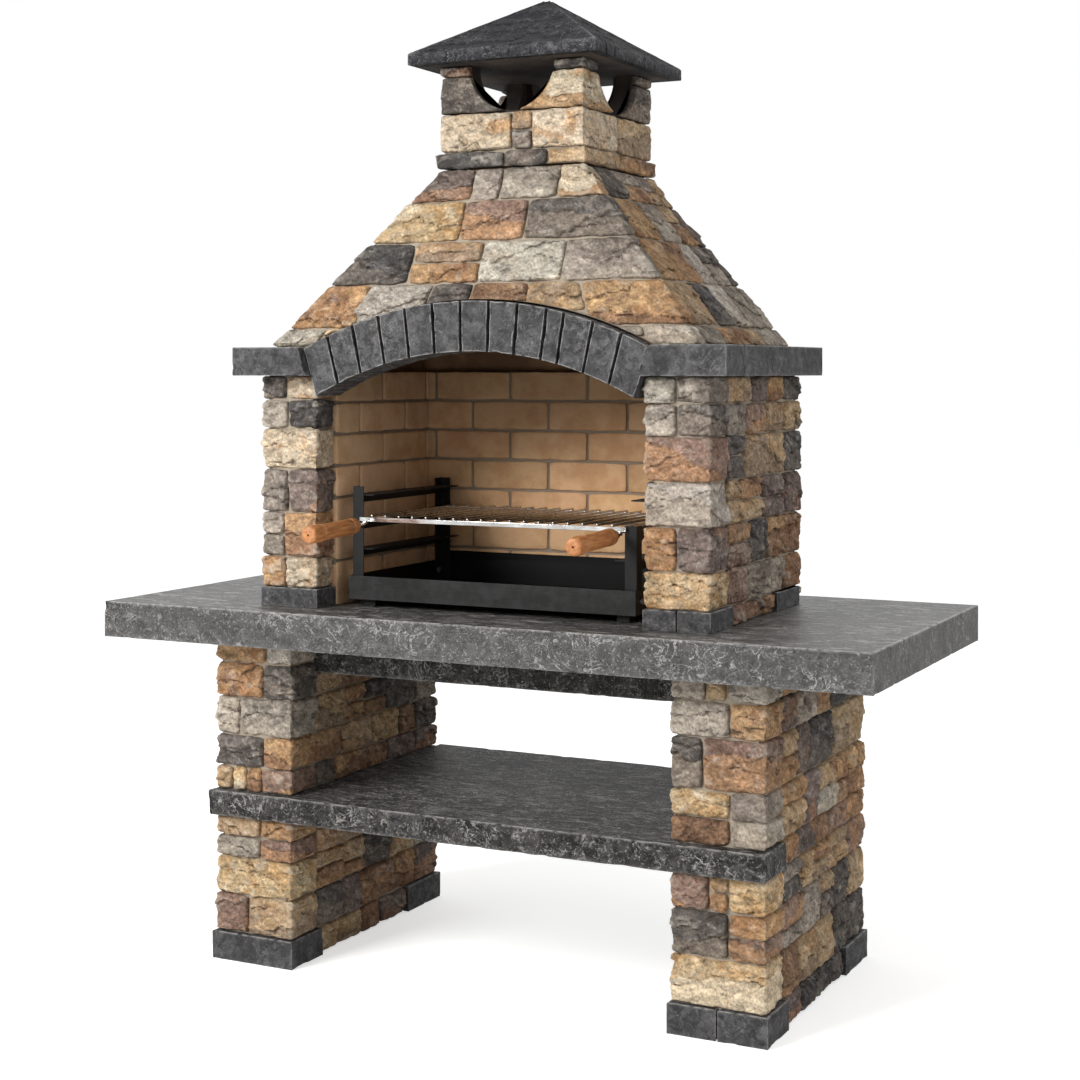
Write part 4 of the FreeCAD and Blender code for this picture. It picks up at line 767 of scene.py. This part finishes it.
firebrick = Finish("buff_firebrick")
fired = firebrick.between(firebrick.cloud(16, 6), 0.4, 0.66)
clay = firebrick.mixed(fired, firebrick.tone("tint"), firebrick.tone("vein"))
dark_grog = firebrick.between(firebrick.cloud(300, 2), 0.36, 0.28)
clay = firebrick.mixed(dark_grog * 0.5, clay, colour(92, 66, 46))
pale_grog = firebrick.between(firebrick.cloud(190, 2), 0.64, 0.72)
clay = firebrick.mixed(pale_grog * 0.35, clay, colour(210, 178, 142))
clay_height = firebrick.cloud(50, 5) + firebrick.cloud(320, 3) * 0.5
firebrick.done(Base_Color=soot_and_shade_upward(firebrick, clay), Roughness=0.93, Normal=firebrick.bump(clay_height, 0.0018))
raked = Finish("refractory_mortar")
paste = raked.mixed(raked.cloud(22, 5), colour(128, 114, 98), colour(160, 146, 128))
raked_height = raked.cloud(80, 5) + raked.cloud(500, 2) * 0.4
raked.done(Base_Color=soot_and_shade_upward(raked, paste), Roughness=0.95, Normal=raked.bump(raked_height, 0.002))


def lined(node, way):
    """The bricks of one wall, each a path across its face, from the solid's own corners."""
    made = []
    for number, corners in enumerate(solids(node)):
        (x0, y0, z0), (x1, y1, z1) = corners.min(axis=0), corners.max(axis=0)
        paths = {"back": [(x0, y0), (x1, y0)], "left": [(x1, y0), (x1, y1)], "right": [(x0, y1), (x0, y0)]}
        # The side walls take S, the lighter copy of the brick: painted light.
        path, letter = paths[way], "F" if way == "back" else "S"
        made.append(split_stone(path, path, z0, z1, brick_cut, letter, 5000 + 97 * len(way) + number))
    return made


for way in ("back", "left", "right"):
    node = f"{way}_wall_firebricks"
    low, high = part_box(node)
    x0, x1, y0, y1 = low.x, high.x, low.y, high.y
    beds = {"back": (x0, x1, y0 + brick_joint, y1), "left": (x0, x1 - brick_joint, y0, y1),
            "right": (x0 + brick_joint, x1, y0, y1)}
    bed = plain_block(rectangle(*beds[way]), low.z, high.z, joint_rough, 47)
    make_piece(f"{way}_wall_raked_mortar", [bed], raked, "masonry")
    make_piece(f"{way}_wall_bricks", lined(node, way), firebrick, "masonry", [node])

# Mantel course
# Basalt blocks at the front corners, whose inner ends lean to take the thrust of the arch, and slabs on the
# sides and at the rear. They ledge out over the firebox and carry the hood.
block_step, block_pits, block_arris = 0.0055, 0.0022, 0.0028


def hewn_quarter(node, seed):
    """Four-sided blocks from a node's solids, each by its corners at the foot and at the top, turning left
    from the front left."""
    blocks = []
    for number, corners in enumerate(solids(node)):
        z0, z1 = corners[:, 2].min(), corners[:, 2].max()
        outlines = []
        for z in (z0, z1):
            level = corners[np.abs(corners[:, 2] - z) < same_level][:, :2]
            y0, y1 = level[:, 1].min(), level[:, 1].max()
            front, rear = level[level[:, 1] < y0 + touch], level[level[:, 1] > y1 - touch]
            outlines.append([(front[:, 0].min(), y0), (front[:, 0].max(), y0),
                             (rear[:, 0].max(), y1), (rear[:, 0].min(), y1)])
        blocks.append(hewn_block(*outlines, z0, z1, block_step, block_pits, block_arris, seed + number,
                                 rims=2))
    return blocks


mantel_nodes = ("left_mantel_block", "right_mantel_block", "left_mantel_slab", "right_mantel_slab",
                "rear_mantel_slab")
for number, node in enumerate(mantel_nodes):
    make_piece(f"{node}_hewn", hewn_quarter(node, 201 + 7 * number), hewn_basalt, "masonry", [node])

# Arch
# Wedge-shaped basalt voussoirs, set on edge between the mantel blocks with thin joints. Their faces are
# pitched with a chisel.
wedge_pits, wedge_arris = 0.0008, 0.0014
wedges = []
for number, corners in enumerate(solids("arch_voussoirs")):
    y0, y1 = corners[:, 1].min(), corners[:, 1].max()
    face = np.unique(np.round(corners[corners[:, 1] < y0 + touch][:, [0, 2]], 5), axis=0)
    middle = face.mean(axis=0)
    face = face[np.argsort(np.arctan2(face[:, 1] - middle[1], face[:, 0] - middle[0]))]
    wedge = hewn_block(face, face, -y1, -y0, block_step, wedge_pits, wedge_arris, 231 + number, crown=9)
    x, z, toward = wedge["points"].T
    wedge["points"] = np.stack([x, -toward, z], axis=1)
    wedges.append(wedge)
make_piece("arch_voussoirs_hewn", wedges, hewn_basalt, "masonry", ["arch_voussoirs"])

# Hood
# A hollow block hood that leans in to the chimney, faced like the legs. Its stones follow the lean, turn
# round the hips and are cut to the back of the arch. Inside it is browned by smoke, and the flue is sooty.
hood_faces = ("front", "rear", "left", "right")
hood_corners = np.concatenate([one for way in hood_faces for one in solids(f"hood_{way}_stones")])
base_z, hood_z0, hood_z1 = hood_corners[:, 2].min(), mantel_high.z, hood_corners[:, 2].max()
base_corners = hood_corners[hood_corners[:, 2] < base_z + near_by]
top_corners = hood_corners[hood_corners[:, 2] > hood_z1 - near_by]
hood_plans = [np.array([c[:, 0].min(), c[:, 0].max(), c[:, 1].min(), c[:, 1].max()])
              for c in (base_corners, top_corners)]
voussoirs = np.concatenate(solids("arch_voussoirs"))
crown_z = voussoirs[:, 2].max()
spring = voussoirs[np.abs(voussoirs[:, 0]) > np.abs(voussoirs[:, 0]).max() - near_by]
spring_x, spring_z = np.abs(spring[:, 0]).max(), spring[:, 2].max()
arch_radius = (spring_x**2 + (crown_z - spring_z) ** 2) / (2 * (crown_z - spring_z))
arch_z = crown_z - arch_radius
arch_rear = voussoirs[:, 1].max()


def hood_plan(z):
    """The faced outline at a height, between the outlines at the foot and at the top."""
    share = (z - base_z) / (hood_z1 - base_z)
    return hood_plans[0] * (1 - share) + hood_plans[1] * share


def off_arch(points, gap=0.004):
    """Points in front that lie inside the back of the arch move out to it, along the radius."""
    away = np.stack([points[:, 0], points[:, 2] - arch_z], axis=1)
    far = np.linalg.norm(away, axis=1)
    inside = (far < arch_radius + gap) & (points[:, 1] < arch_rear)
    scale = np.where(inside, (arch_radius + gap) / far, 1)
    moved = points.copy()
    moved[:, 0] = away[:, 0] * scale
    moved[:, 2] = arch_z + away[:, 1] * scale
    return moved


def pointed_skin(low, high, z0, z1, step, wall, seed):
    """Mortar over four leaning walls: the outline is carried up and stands in by the joint's depth, with
    noise, and a second surface behind it, a wall's thickness in, closes it."""
    corners = [rectangle(*(plan + np.array([1, -1, 1, -1]) * joint_depth)) for plan in (low, high)]
    shell = hewn_block(*corners, z0, z1, step, core_rough, skin_arris, seed)
    columns = len(shell["caps"][0])
    rows = len(shell["points"]) // columns
    outer = shell["points"].reshape(rows, columns, 3)
    inner = outer.copy()
    middle = outer.mean(axis=1, keepdims=True)
    inner[..., :2] -= np.sign(outer - middle)[..., :2] * wall
    index = np.arange(rows * columns).reshape(rows, columns)
    back = index + rows * columns
    turned, back_turned = np.roll(index, -1, axis=1), np.roll(back, -1, axis=1)
    quads = [shell["quads"], shell["quads"][:, ::-1] + rows * columns,
             np.stack([index[-1], turned[-1], back_turned[-1], back[-1]], axis=-1),
             np.stack([turned[0], index[0], back[0], back_turned[0]], axis=-1)]
    points = np.concatenate([outer.reshape(-1, 3), inner.reshape(-1, 3)])
    return {"points": points, "quads": np.concatenate(quads)}


def smoky_finish(name, dark, light):
    """Block or stone that smoke has coated, also used as painted shadow: broad clouds between two tones, and
    a fine crust.
    """
    smoky = Finish(name)
    tone = smoky.mixed(smoky.between(smoky.cloud(9, 6), 0.35, 0.68), colour(*dark), colour(*light))
    crust = smoky.cloud(60, 6) + smoky.cloud(300, 3) * 0.3
    return smoky.done(Base_Color=tone, Roughness=0.95, Normal=smoky.bump(crust, 0.003))


hood_step, hood_wall, skin_arris = 0.012, 0.02, 0.002
skin = pointed_skin(hood_plan(hood_z0), hood_plan(hood_z1), hood_z0, hood_z1, hood_step, hood_wall, 48)
skin["points"] = off_arch(skin["points"])
make_piece("hood_mortar", [skin], mortar, "masonry")
hood_letters = {"front": "LLTG" + "OLOTDB" + "OKLGT" + "YRD" + "PGGC",
                "right": "GOTL" + "TKLG" + "GOBLD" + "BOGT" + "TODGG",
                "rear": "TGYOGT" + "BGTLPY" + "ODGTBT" + "YPOTGL" + "GTBYTG"}
for number, way in enumerate(hood_faces):
    node = f"hood_{way}_stones"
    stones = faced(node, hood_plan, facing_cut, hood_letters.get(way, ""), 140 + number)
    for stone in stones:
        stone["points"] = off_arch(stone["points"])
    make_piece(f"hood_{way}_split", stones, facing, "masonry", [node])
sooty_and_shaded = smoky_finish("sooty_block", (34, 29, 25), (66, 55, 46))
smoked = smoky_finish("smoked_lining", (92, 68, 47), (126, 96, 68))
coat, coat_rough, coat_step = 0.002, 0.0005, 0.02
smoked_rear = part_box("rear_mantel_slab")[0].y
smoked_side, smoked_front = mantel_low.x, mantel_low.y
outlines = [rectangle(-smoked_side, smoked_side, smoked_rear - coat, smoked_rear + coat),
            rectangle(smoked_side - coat, smoked_side + coat, smoked_front, smoked_rear),
            rectangle(-smoked_side - coat, -smoked_side + coat, smoked_front, smoked_rear)]
coats = [plain_block(outline, mantel_low.z + coat, mantel_high.z - coat, coat_rough, 52, coat_step)
         for outline in outlines]
make_piece("mantel_smoked_coat", coats, smoked, "masonry")
for node, finish in (("hood_core", smoked), ("chimney_flue", sooty_and_shaded)):
    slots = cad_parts[node].data.materials
    slots.clear()
    slots.append(finish.material)

# Collar of the chimney
# A course of split slips that stands a little proud where the hood ends and the chimney starts.
collar_low, collar_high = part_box("chimney_collar")
x0, x1, y0, y1 = collar_low.x, collar_high.x, collar_low.y, collar_high.y
collar_cut = facing_cut | {"rim": 0.004, "roll": 0.005, "rough": 0.0022, "swell": 0.001, "ledge": 0.0025}
slips = faced("chimney_collar", lambda z: (x0, x1, y0, y1), collar_cut, "KDTTBT", 160)
make_piece("chimney_collar_split", slips, facing, "masonry", ["chimney_collar"])
bed_depth, bed_rough = 0.008, 0.002
outline = rectangle(x0 + bed_depth, x1 - bed_depth, y0 + bed_depth, y1 - bed_depth)
bed = plain_block(outline, collar_low.z, collar_high.z, bed_rough, 49)
make_piece("chimney_collar_mortar", [bed], mortar, "masonry")

# Chimney
# Facing stones round the flue. At the top, an opening cut through them on each side lets the smoke out
# under the cap.
flue_low, flue_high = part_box("chimney_stones")
chimney_plan = np.array([flue_low.x, flue_high.x, flue_low.y, flue_high.y])
smoke_y = (flue_low.y + flue_high.y) / 2
smoke_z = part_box("chimney_cap")[0].z
stone_corners = np.concatenate(solids("chimney_stones"))
top_stones = stone_corners[stone_corners[:, 2] > flue_high.z - touch]
smoke_radius = np.abs(top_stones[top_stones[:, 1] < flue_low.y + touch][:, 0]).min()


def off_smoke_ways(points):
    """Points inside either of the round openings, which cross under the cap, move out along its radius."""
    moved = points.copy()
    for axis, centre in ((0, 0.0), (1, smoke_y)):
        away = np.stack([moved[:, axis] - centre, moved[:, 2] - smoke_z], axis=1)
        far = np.maximum(np.linalg.norm(away, axis=1), 1e-6)
        through = np.abs(moved[:, 1 - axis] - (smoke_y if axis == 0 else 0.0)) > smoke_radius
        scale = np.where((far < smoke_radius) & through, smoke_radius / far, 1)
        moved[:, axis] = centre + away[:, 0] * scale
        moved[:, 2] = smoke_z + away[:, 1] * scale
    return moved


below_mouth, chimney_step, chimney_wall = 0.004, 0.008, 0.006
skin_top = smoke_z - smoke_radius - below_mouth
skin = pointed_skin(chimney_plan, chimney_plan, collar_high.z, skin_top, chimney_step, chimney_wall, 50)
make_piece("chimney_mortar", [skin], mortar, "masonry")
chimney_letters = "D" + "L" + "CTC" + "GTT" + "DC" + "GD" + "PK" + "KD"
stones = faced("chimney_stones", lambda z: chimney_plan, collar_cut, chimney_letters, 150)
for stone in stones:
    stone["points"] = off_smoke_ways(stone["points"])
make_piece("chimney_split", stones, facing, "masonry", ["chimney_stones"])

# Cap
# A low four-sided roof of slate in rough courses on a thick slab, whose hips and eaves are worn pale, with
# a painted highlight along them, and with painted shade just under the lap of each course.
cap_corners = np.concatenate(solids("chimney_cap"))
cap_low, cap_high = cap_corners.min(axis=0), cap_corners.max(axis=0)
levels = np.unique(np.round(cap_corners[:, 2], 4))
eaves_z = levels[1]
tip = cap_corners[cap_corners[:, 2] > cap_high[2] - touch]
slate_courses, slate_thick, slate_rough = 5, 0.0028, 0.0035
eaves_joints = np.array([12, 21, 55, 67])


def slate_roof():
    """A rectangle carried up: the underside, the upright eaves, then the four slopes, where each course
    stands off by a saw-tooth that is thickest at its lower edge and shifts from slate to slate by noise. The
    eaves are notched at the joints between their stones, which are given in hundredths of a side."""
    around, rises = 120, 60
    eaves = np.array(rectangle(cap_low[0], cap_high[0], cap_low[1], cap_high[1]))
    peak = np.array(rectangle(tip[:, 0].min(), tip[:, 0].max(), tip[:, 1].min(), tip[:, 1].max()))
    side = np.repeat(np.arange(4), around)
    along = np.tile(np.arange(around) / around, 4)[:, None]
    outer, inner = (ring_points(outline, side, along) for outline in (eaves, peak))
    centre = eaves.mean(axis=0)
    under = np.stack([centre + (outer - centre) * 0.6, outer * 0.996 + centre * 0.004])
    share = np.linspace(0, 1, rises)[:, None, None]
    slope = outer * (1 - share) + inner * share
    plan = np.concatenate([under, outer[None], outer[None], slope[1:]])
    lift = eaves_z + (cap_high[2] - eaves_z) * share[1:, 0, 0]
    height = np.concatenate([[cap_low[2]] * 2, [cap_low[2] + 0.002], [eaves_z - 0.002], lift])
    points = np.concatenate([plan, np.repeat(height[:, None], len(outer), axis=1)[..., None]], axis=2)
    flat = points.reshape(-1, 3)
    shape = points.shape[:2]
    row = np.arange(shape[0])[:, None]
    stagger = lattice_noise(flat * [1, 1, 0.0], 0.055, 3).reshape(shape) * 0.5
    course = np.concatenate([np.zeros(4), np.linspace(0, 1, rises)[1:]])[:, None] * slate_courses + stagger
    tooth = (1 - (course - np.floor(course))) * slate_thick
    rough = grain_of(flat, 0.03, 4, 9).reshape(shape)
    hip = np.minimum(along, 1 - along)[:, 0][None] * 2
    sink = (slate_thick - tooth + slate_rough * (0.5 - 0.5 * rough)) * np.clip(hip * 8, 0.2, 1)
    sink = sink * np.clip(row - 2, 0, 1)
    points[..., 2] -= sink
    points[..., :2] -= (points[..., :2] - centre) * (0.15 * sink / 0.2)[..., None]
    at_joint = np.arange(4)[:, None] * around + eaves_joints * around // 100
    notch = np.isin(np.arange(4 * around), at_joint)[None] * np.isin(row, (2, 3, 4))
    points[..., :2] -= (points[..., :2] - centre) * (0.016 * notch)[..., None]
    # Hips and eaves are worn pale, with a painted highlight along them. The relief is lowest just under the
    # lap of the next course, where the finish paints shade.
    worn = np.exp(-hip * 40) * (row > 3) + np.exp(-np.abs(row - 3.5) * 1.5)
    relief = tooth / slate_thick * 2 - 1 + 0.5 * rough - 3 * notch
    return {"points": points.reshape(-1, 3), **ring_faces(*shape),
            "worn": np.clip(worn, 0, 1).ravel(), "relief": relief.ravel()}


slate = basalt_finish("dark_slate", (30, 30, 32), (52, 52, 55), (112, 112, 115), (150, 150, 152),
                      0.66, 0.5, sheen=0.1)
make_piece("chimney_cap_slates", [slate_roof()], slate, "masonry", ["chimney_cap"])
# Under the cap lies a coat of the sooty finish: soot over the mouth of the flue, and painted shadow on the
# underside of the overhang out to near the eaves.
eaves_edge, soot_and_shade_thick, soot_and_shade_lap = 0.02, 0.001, 0.004
outline = rectangle(cap_low[0] + eaves_edge, cap_high[0] - eaves_edge,
                    cap_low[1] + eaves_edge, cap_high[1] - eaves_edge)
crust = plain_block(outline, cap_low[2] - soot_and_shade_thick, cap_low[2] + soot_and_shade_lap, coat_rough, 51, coat_step)
make_piece("chimney_cap_soot_and_shade", [crust], sooty_and_shaded, "masonry")

# Fire tray and grid frame
# A tray folded from steel sheet holds the fire. Flat uprights bolted to its ends carry the rails that the
# grid slides on. All are blacked; the tray has a satin coat outside and is nearly black inside.


def eased_copy(node, width, finish, body):
    """A node's mesh with its loose corners merged, its flat triangles joined and a bevel along its edges."""
    mesh = bpy.data.meshes.new(f"{node}_eased")
    shell = bmesh.new()
    shell.from_mesh(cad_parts[node].data)
    bmesh.ops.remove_doubles(shell, verts=shell.verts, dist=1e-5)
    bmesh.ops.dissolve_limit(shell, angle_limit=math.radians(1), verts=shell.verts, edges=shell.edges)
    shell.to_mesh(mesh)
    shell.free()
    mesh.shade_smooth()
    mesh.set_sharp_from_angle(angle=math.radians(35))
    mesh.materials.clear()
    mesh.materials.append(finish.material)
    made = placed(f"{node}_eased", mesh)
    bevel = made.modifiers.new("eased_edges", "BEVEL")
    bevel.width = width
    bevel.segments = 2
    bevel.limit_method = "ANGLE"
    bevel.angle_limit = math.radians(40)
    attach(made, body)
    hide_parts(node)


def steel_finish(name, dark, light, rough, metal=1.0, scale=40):
    """Steel with clouds of tone, fine scratches along the work, and a gloss that varies with the clouds."""
    steel = Finish(name)
    patchy = steel.cloud(scale, 5)
    lines = steel.cloud(30, 3, steel.place((1, 14, 14)))
    tone = steel.mixed(steel.between(patchy * 0.7 + lines * 0.3, 0.35, 0.65), colour(*dark), colour(*light))
    return steel.done(Base_Color=tone, Metallic=metal, Roughness=rough + 0.22 * (patchy - 0.5),
                      Normal=steel.bump(lines + patchy, 0.0003, 0.5))


satin_black = steel_finish("satin_black_sheet", (36, 36, 35), (50, 49, 49), 0.5, 0.0)
satin_black.done(Specular_IOR_Level=0.12)
tray_low, tray_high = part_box("fire_tray")
coat_from, coat_to = 0.001, 0.003
where = satin_black.place()
across = satin_black.node("ShaderNodeSeparateXYZ", {}, {"Vector": where}, "X")
from_middle = satin_black.node("ShaderNodeMath", {"operation": "ABSOLUTE"}, {0: across})
back = satin_black.node("ShaderNodeSeparateXYZ", {}, {"Vector": where}, "Y")
# The inner faces of the tray are mixed almost to black.
inside = satin_black.between(back, tray_low.y + coat_from, tray_low.y + coat_to)
inside = inside * satin_black.between(from_middle, tray_high.x - coat_from, tray_high.x - coat_to)
inside = inside * satin_black.between(back, tray_high.y - coat_from, tray_high.y - coat_to)
plain_sheet = Shade(satin_black, satin_black.shader.inputs["Base Color"].links[0].from_socket)
satin_black.done(Base_Color=satin_black.mixed(inside * 0.95, plain_sheet, colour(9, 8, 8)))
matt_black = steel_finish("matt_black_bar", (16, 15, 15), (28, 27, 26), 0.6, 0.1)
matt_black.done(Specular_IOR_Level=0.25)
eased_copy("fire_tray", 0.0007, satin_black, "fire_insert")
for node in ("tray_feet", "left_frame_uprights", "right_frame_uprights", "left_frame_rails",
             "right_frame_rails"):
    eased_copy(node, 0.0008, matt_black, "fire_insert")
zinc = steel_finish("zinc_bolt", (150, 150, 152), (196, 196, 198), 0.34)
eased_copy("frame_bolts", 0.0006, zinc, "fire_insert")

# Cooking grid
# A frame of chromed flat bar with round steel rods across it, welded on top so that their ends show at the
# front.
chrome = steel_finish("chromed_bar", (228, 226, 223), (250, 249, 247), 0.16)
grid_steel = steel_finish("grid_rod", (140, 136, 131), (184, 180, 174), 0.3, scale=90)
for node in ("grid_front_bar", "grid_rear_bar", "grid_side_bars"):
    eased_copy(node, 0.0008, chrome, "cooking_grid")


def turned_along(start, end, profile, around=20):
    """A profile of shares along the axis and radii, carried round the axis from start to end, with closed
    ends."""
    start, end = np.asarray(start, float), np.asarray(end, float)
    axis = (end - start) / np.linalg.norm(end - start)
    first = np.cross(axis, [0, 0, 1.0])
    first /= np.linalg.norm(first)
    second = np.cross(axis, first)
    angle = np.linspace(0, 2 * np.pi, around, endpoint=False)
    spoke = np.cos(angle)[:, None] * first + np.sin(angle)[:, None] * second
    share, radius = np.asarray(profile, float).T
    points = (start + (end - start) * share[:, None])[:, None] + spoke[None] * radius[:, None, None]
    return {"points": points.reshape(-1, 3), **ring_faces(len(share), around)}


rods = []
for corners in solids("grid_rods"):
    low, high = corners.min(axis=0), corners.max(axis=0)
    x, z = (low[0] + high[0]) / 2, (low[2] + high[2]) / 2
    radius = (high[0] - low[0]) / 2
    dome = [(0, 0.55), (0.0015, 0.9), (0.004, 1), (0.996, 1), (0.9985, 0.9), (1, 0.55)]
    rods.append(turned_along((x, low[1], z), (x, high[1], z), [(at, radius * r) for at, r in dome], 12))
make_piece("grid_rods_round", rods, grid_steel, "cooking_grid", ["grid_rods"])

# Handles
# Two steel shanks welded to the front bar carry turned beech grips, with a steel ferrule where the shank
# goes in. Ring grooves are cut near both ends, and a small hole is drilled in the end.
eased_copy("handle_shanks", 0.0006, chrome, "cooking_grid")
eased_copy("handle_ferrules", 0.0005, chrome, "cooking_grid")
grip_profile = [(0, 0.5), (0.004, 0.68), (0.015, 0.8), (0.05, 0.9), (0.1, 0.93), (0.14, 0.93),
                (0.147, 0.86), (0.154, 0.91), (0.3, 0.89), (0.5, 0.87), (0.68, 0.89), (0.735, 0.91),
                (0.745, 0.82), (0.756, 0.94), (0.772, 0.97), (0.782, 0.89), (0.792, 0.98), (0.84, 1.0),
                (0.93, 0.99), (0.965, 0.96), (0.985, 0.9), (0.995, 0.8), (1, 0.64), (1, 0.2),
                (0.999, 0.13), (0.97, 0.12)]
end_face = 0.004
beech = Finish("oiled_beech")
lengthwise = beech.place((1, 0.12, 1))
grain_lines = beech.cloud(190, 5, lengthwise, 0.6)
wood = beech.mixed(beech.between(grain_lines, 0.34, 0.68), colour(160, 99, 54), colour(198, 137, 84))
wood = beech.mixed(beech.between(beech.cloud(26, 4, lengthwise), 0.4, 0.7) * 0.35, wood, colour(150, 92, 50))
pores = beech.between(beech.cloud(700, 2, lengthwise), 0.36, 0.28)
wood = beech.mixed(pores * 0.4, wood, colour(84, 48, 24))
beech.done(Base_Color=wood, Roughness=0.4 + 0.2 * beech.cloud(60, 3),
           Normal=beech.bump(grain_lines - pores, 0.0006, 0.6))
for side in ("left", "right"):
    corners = solids(f"{side}_handle_grip")[0]
    rear_face = corners[corners[:, 1] > corners[:, 1].max() - end_face].mean(axis=0)
    front_face = corners[corners[:, 1] < corners[:, 1].min() + end_face].mean(axis=0)
    radius = (corners[:, 0].max() - corners[:, 0].min()) / 2
    grip = turned_along(rear_face, front_face, [(at, radius * r) for at, r in grip_profile], 40)
    make_piece(f"{side}_handle_turned", [grip], beech, "cooking_grid", [f"{side}_handle_grip"], 40)

# Floor, light and camera
# A pale floor that takes the shadow, a white surround, one large soft lamp in front and to the left, and two
# weak ones at the right and behind. The camera stands level, right of the middle, as in the photograph.
floor_mesh = bpy.data.meshes.new("floor")
reach, below = 30.0, 0.0005
floor_corners = [(x, y, -below) for x, y in rectangle(-reach, reach, -reach, reach)]
floor_mesh.from_pydata(floor_corners, [], [(0, 1, 2, 3)])
floor_finish = Finish("pale_floor")
seen = floor_finish.node("ShaderNodeLightPath", {}, {}, "Is Camera Ray")
floor_finish.done(Base_Color=colour(240, 240, 239), Roughness=0.9, Emission_Color=seen,
                  Emission_Strength=0.55)
floor_mesh.materials.append(floor_finish.material)
floor = placed("floor", floor_mesh)

world = bpy.data.worlds.new("surround")
bpy.context.scene.world = world
world.use_nodes = True
sky, join = world.node_tree.nodes, world.node_tree.links.new


def either(first, second):
    """The larger of two of the world's values, so that a ray of either kind counts."""
    larger = sky.new("ShaderNodeMath")
    larger.operation = "MAXIMUM"
    join(first, larger.inputs[0])
    join(second, larger.inputs[1])
    return larger.outputs[0]


rays = sky.new("ShaderNodeLightPath").outputs
strength = sky.new("ShaderNodeMapRange")
strength.inputs["To Min"].default_value = 0.5
white_to = either(either(rays["Is Camera Ray"], rays["Is Transmission Ray"]), rays["Is Glossy Ray"])
join(white_to, strength.inputs["Value"])
join(strength.outputs[0], sky["Background"].inputs["Strength"])
sky["Background"].inputs["Color"].default_value = (1, 1, 1, 1)

lamps = {"soft_lamp": ((-2.6, -5.3, 3.7), 2.5, 430), "side_lamp": ((4.9, -1.0, 2.4), 2.5, 34),
         "rear_lamp": ((2.4, 5.2, 4.4), 3.0, 36)}
for name, (at, size, watts) in lamps.items():
    lamp_data = bpy.data.lights.new(name, "AREA")
    lamp_data.size = size
    lamp_data.energy = watts
    lamp = placed(name, lamp_data)
    lamp.location = at
    lamp.rotation_euler = (Vector((0, 0, 1.0)) - lamp.location).to_track_quat("-Z", "Y").to_euler()

camera_data = bpy.data.cameras.new("camera")
camera_data.lens = 63.28
camera_data.sensor_width = 36
camera_data.shift_y = -0.1562
camera = placed("camera", camera_data)
camera.location = (1.9539, -3.8896, 1.3546)
camera.rotation_euler = (math.radians(90), 0, math.radians(26.42))
bpy.context.scene.camera = camera
bpy.context.scene.view_settings.view_transform = "Standard"
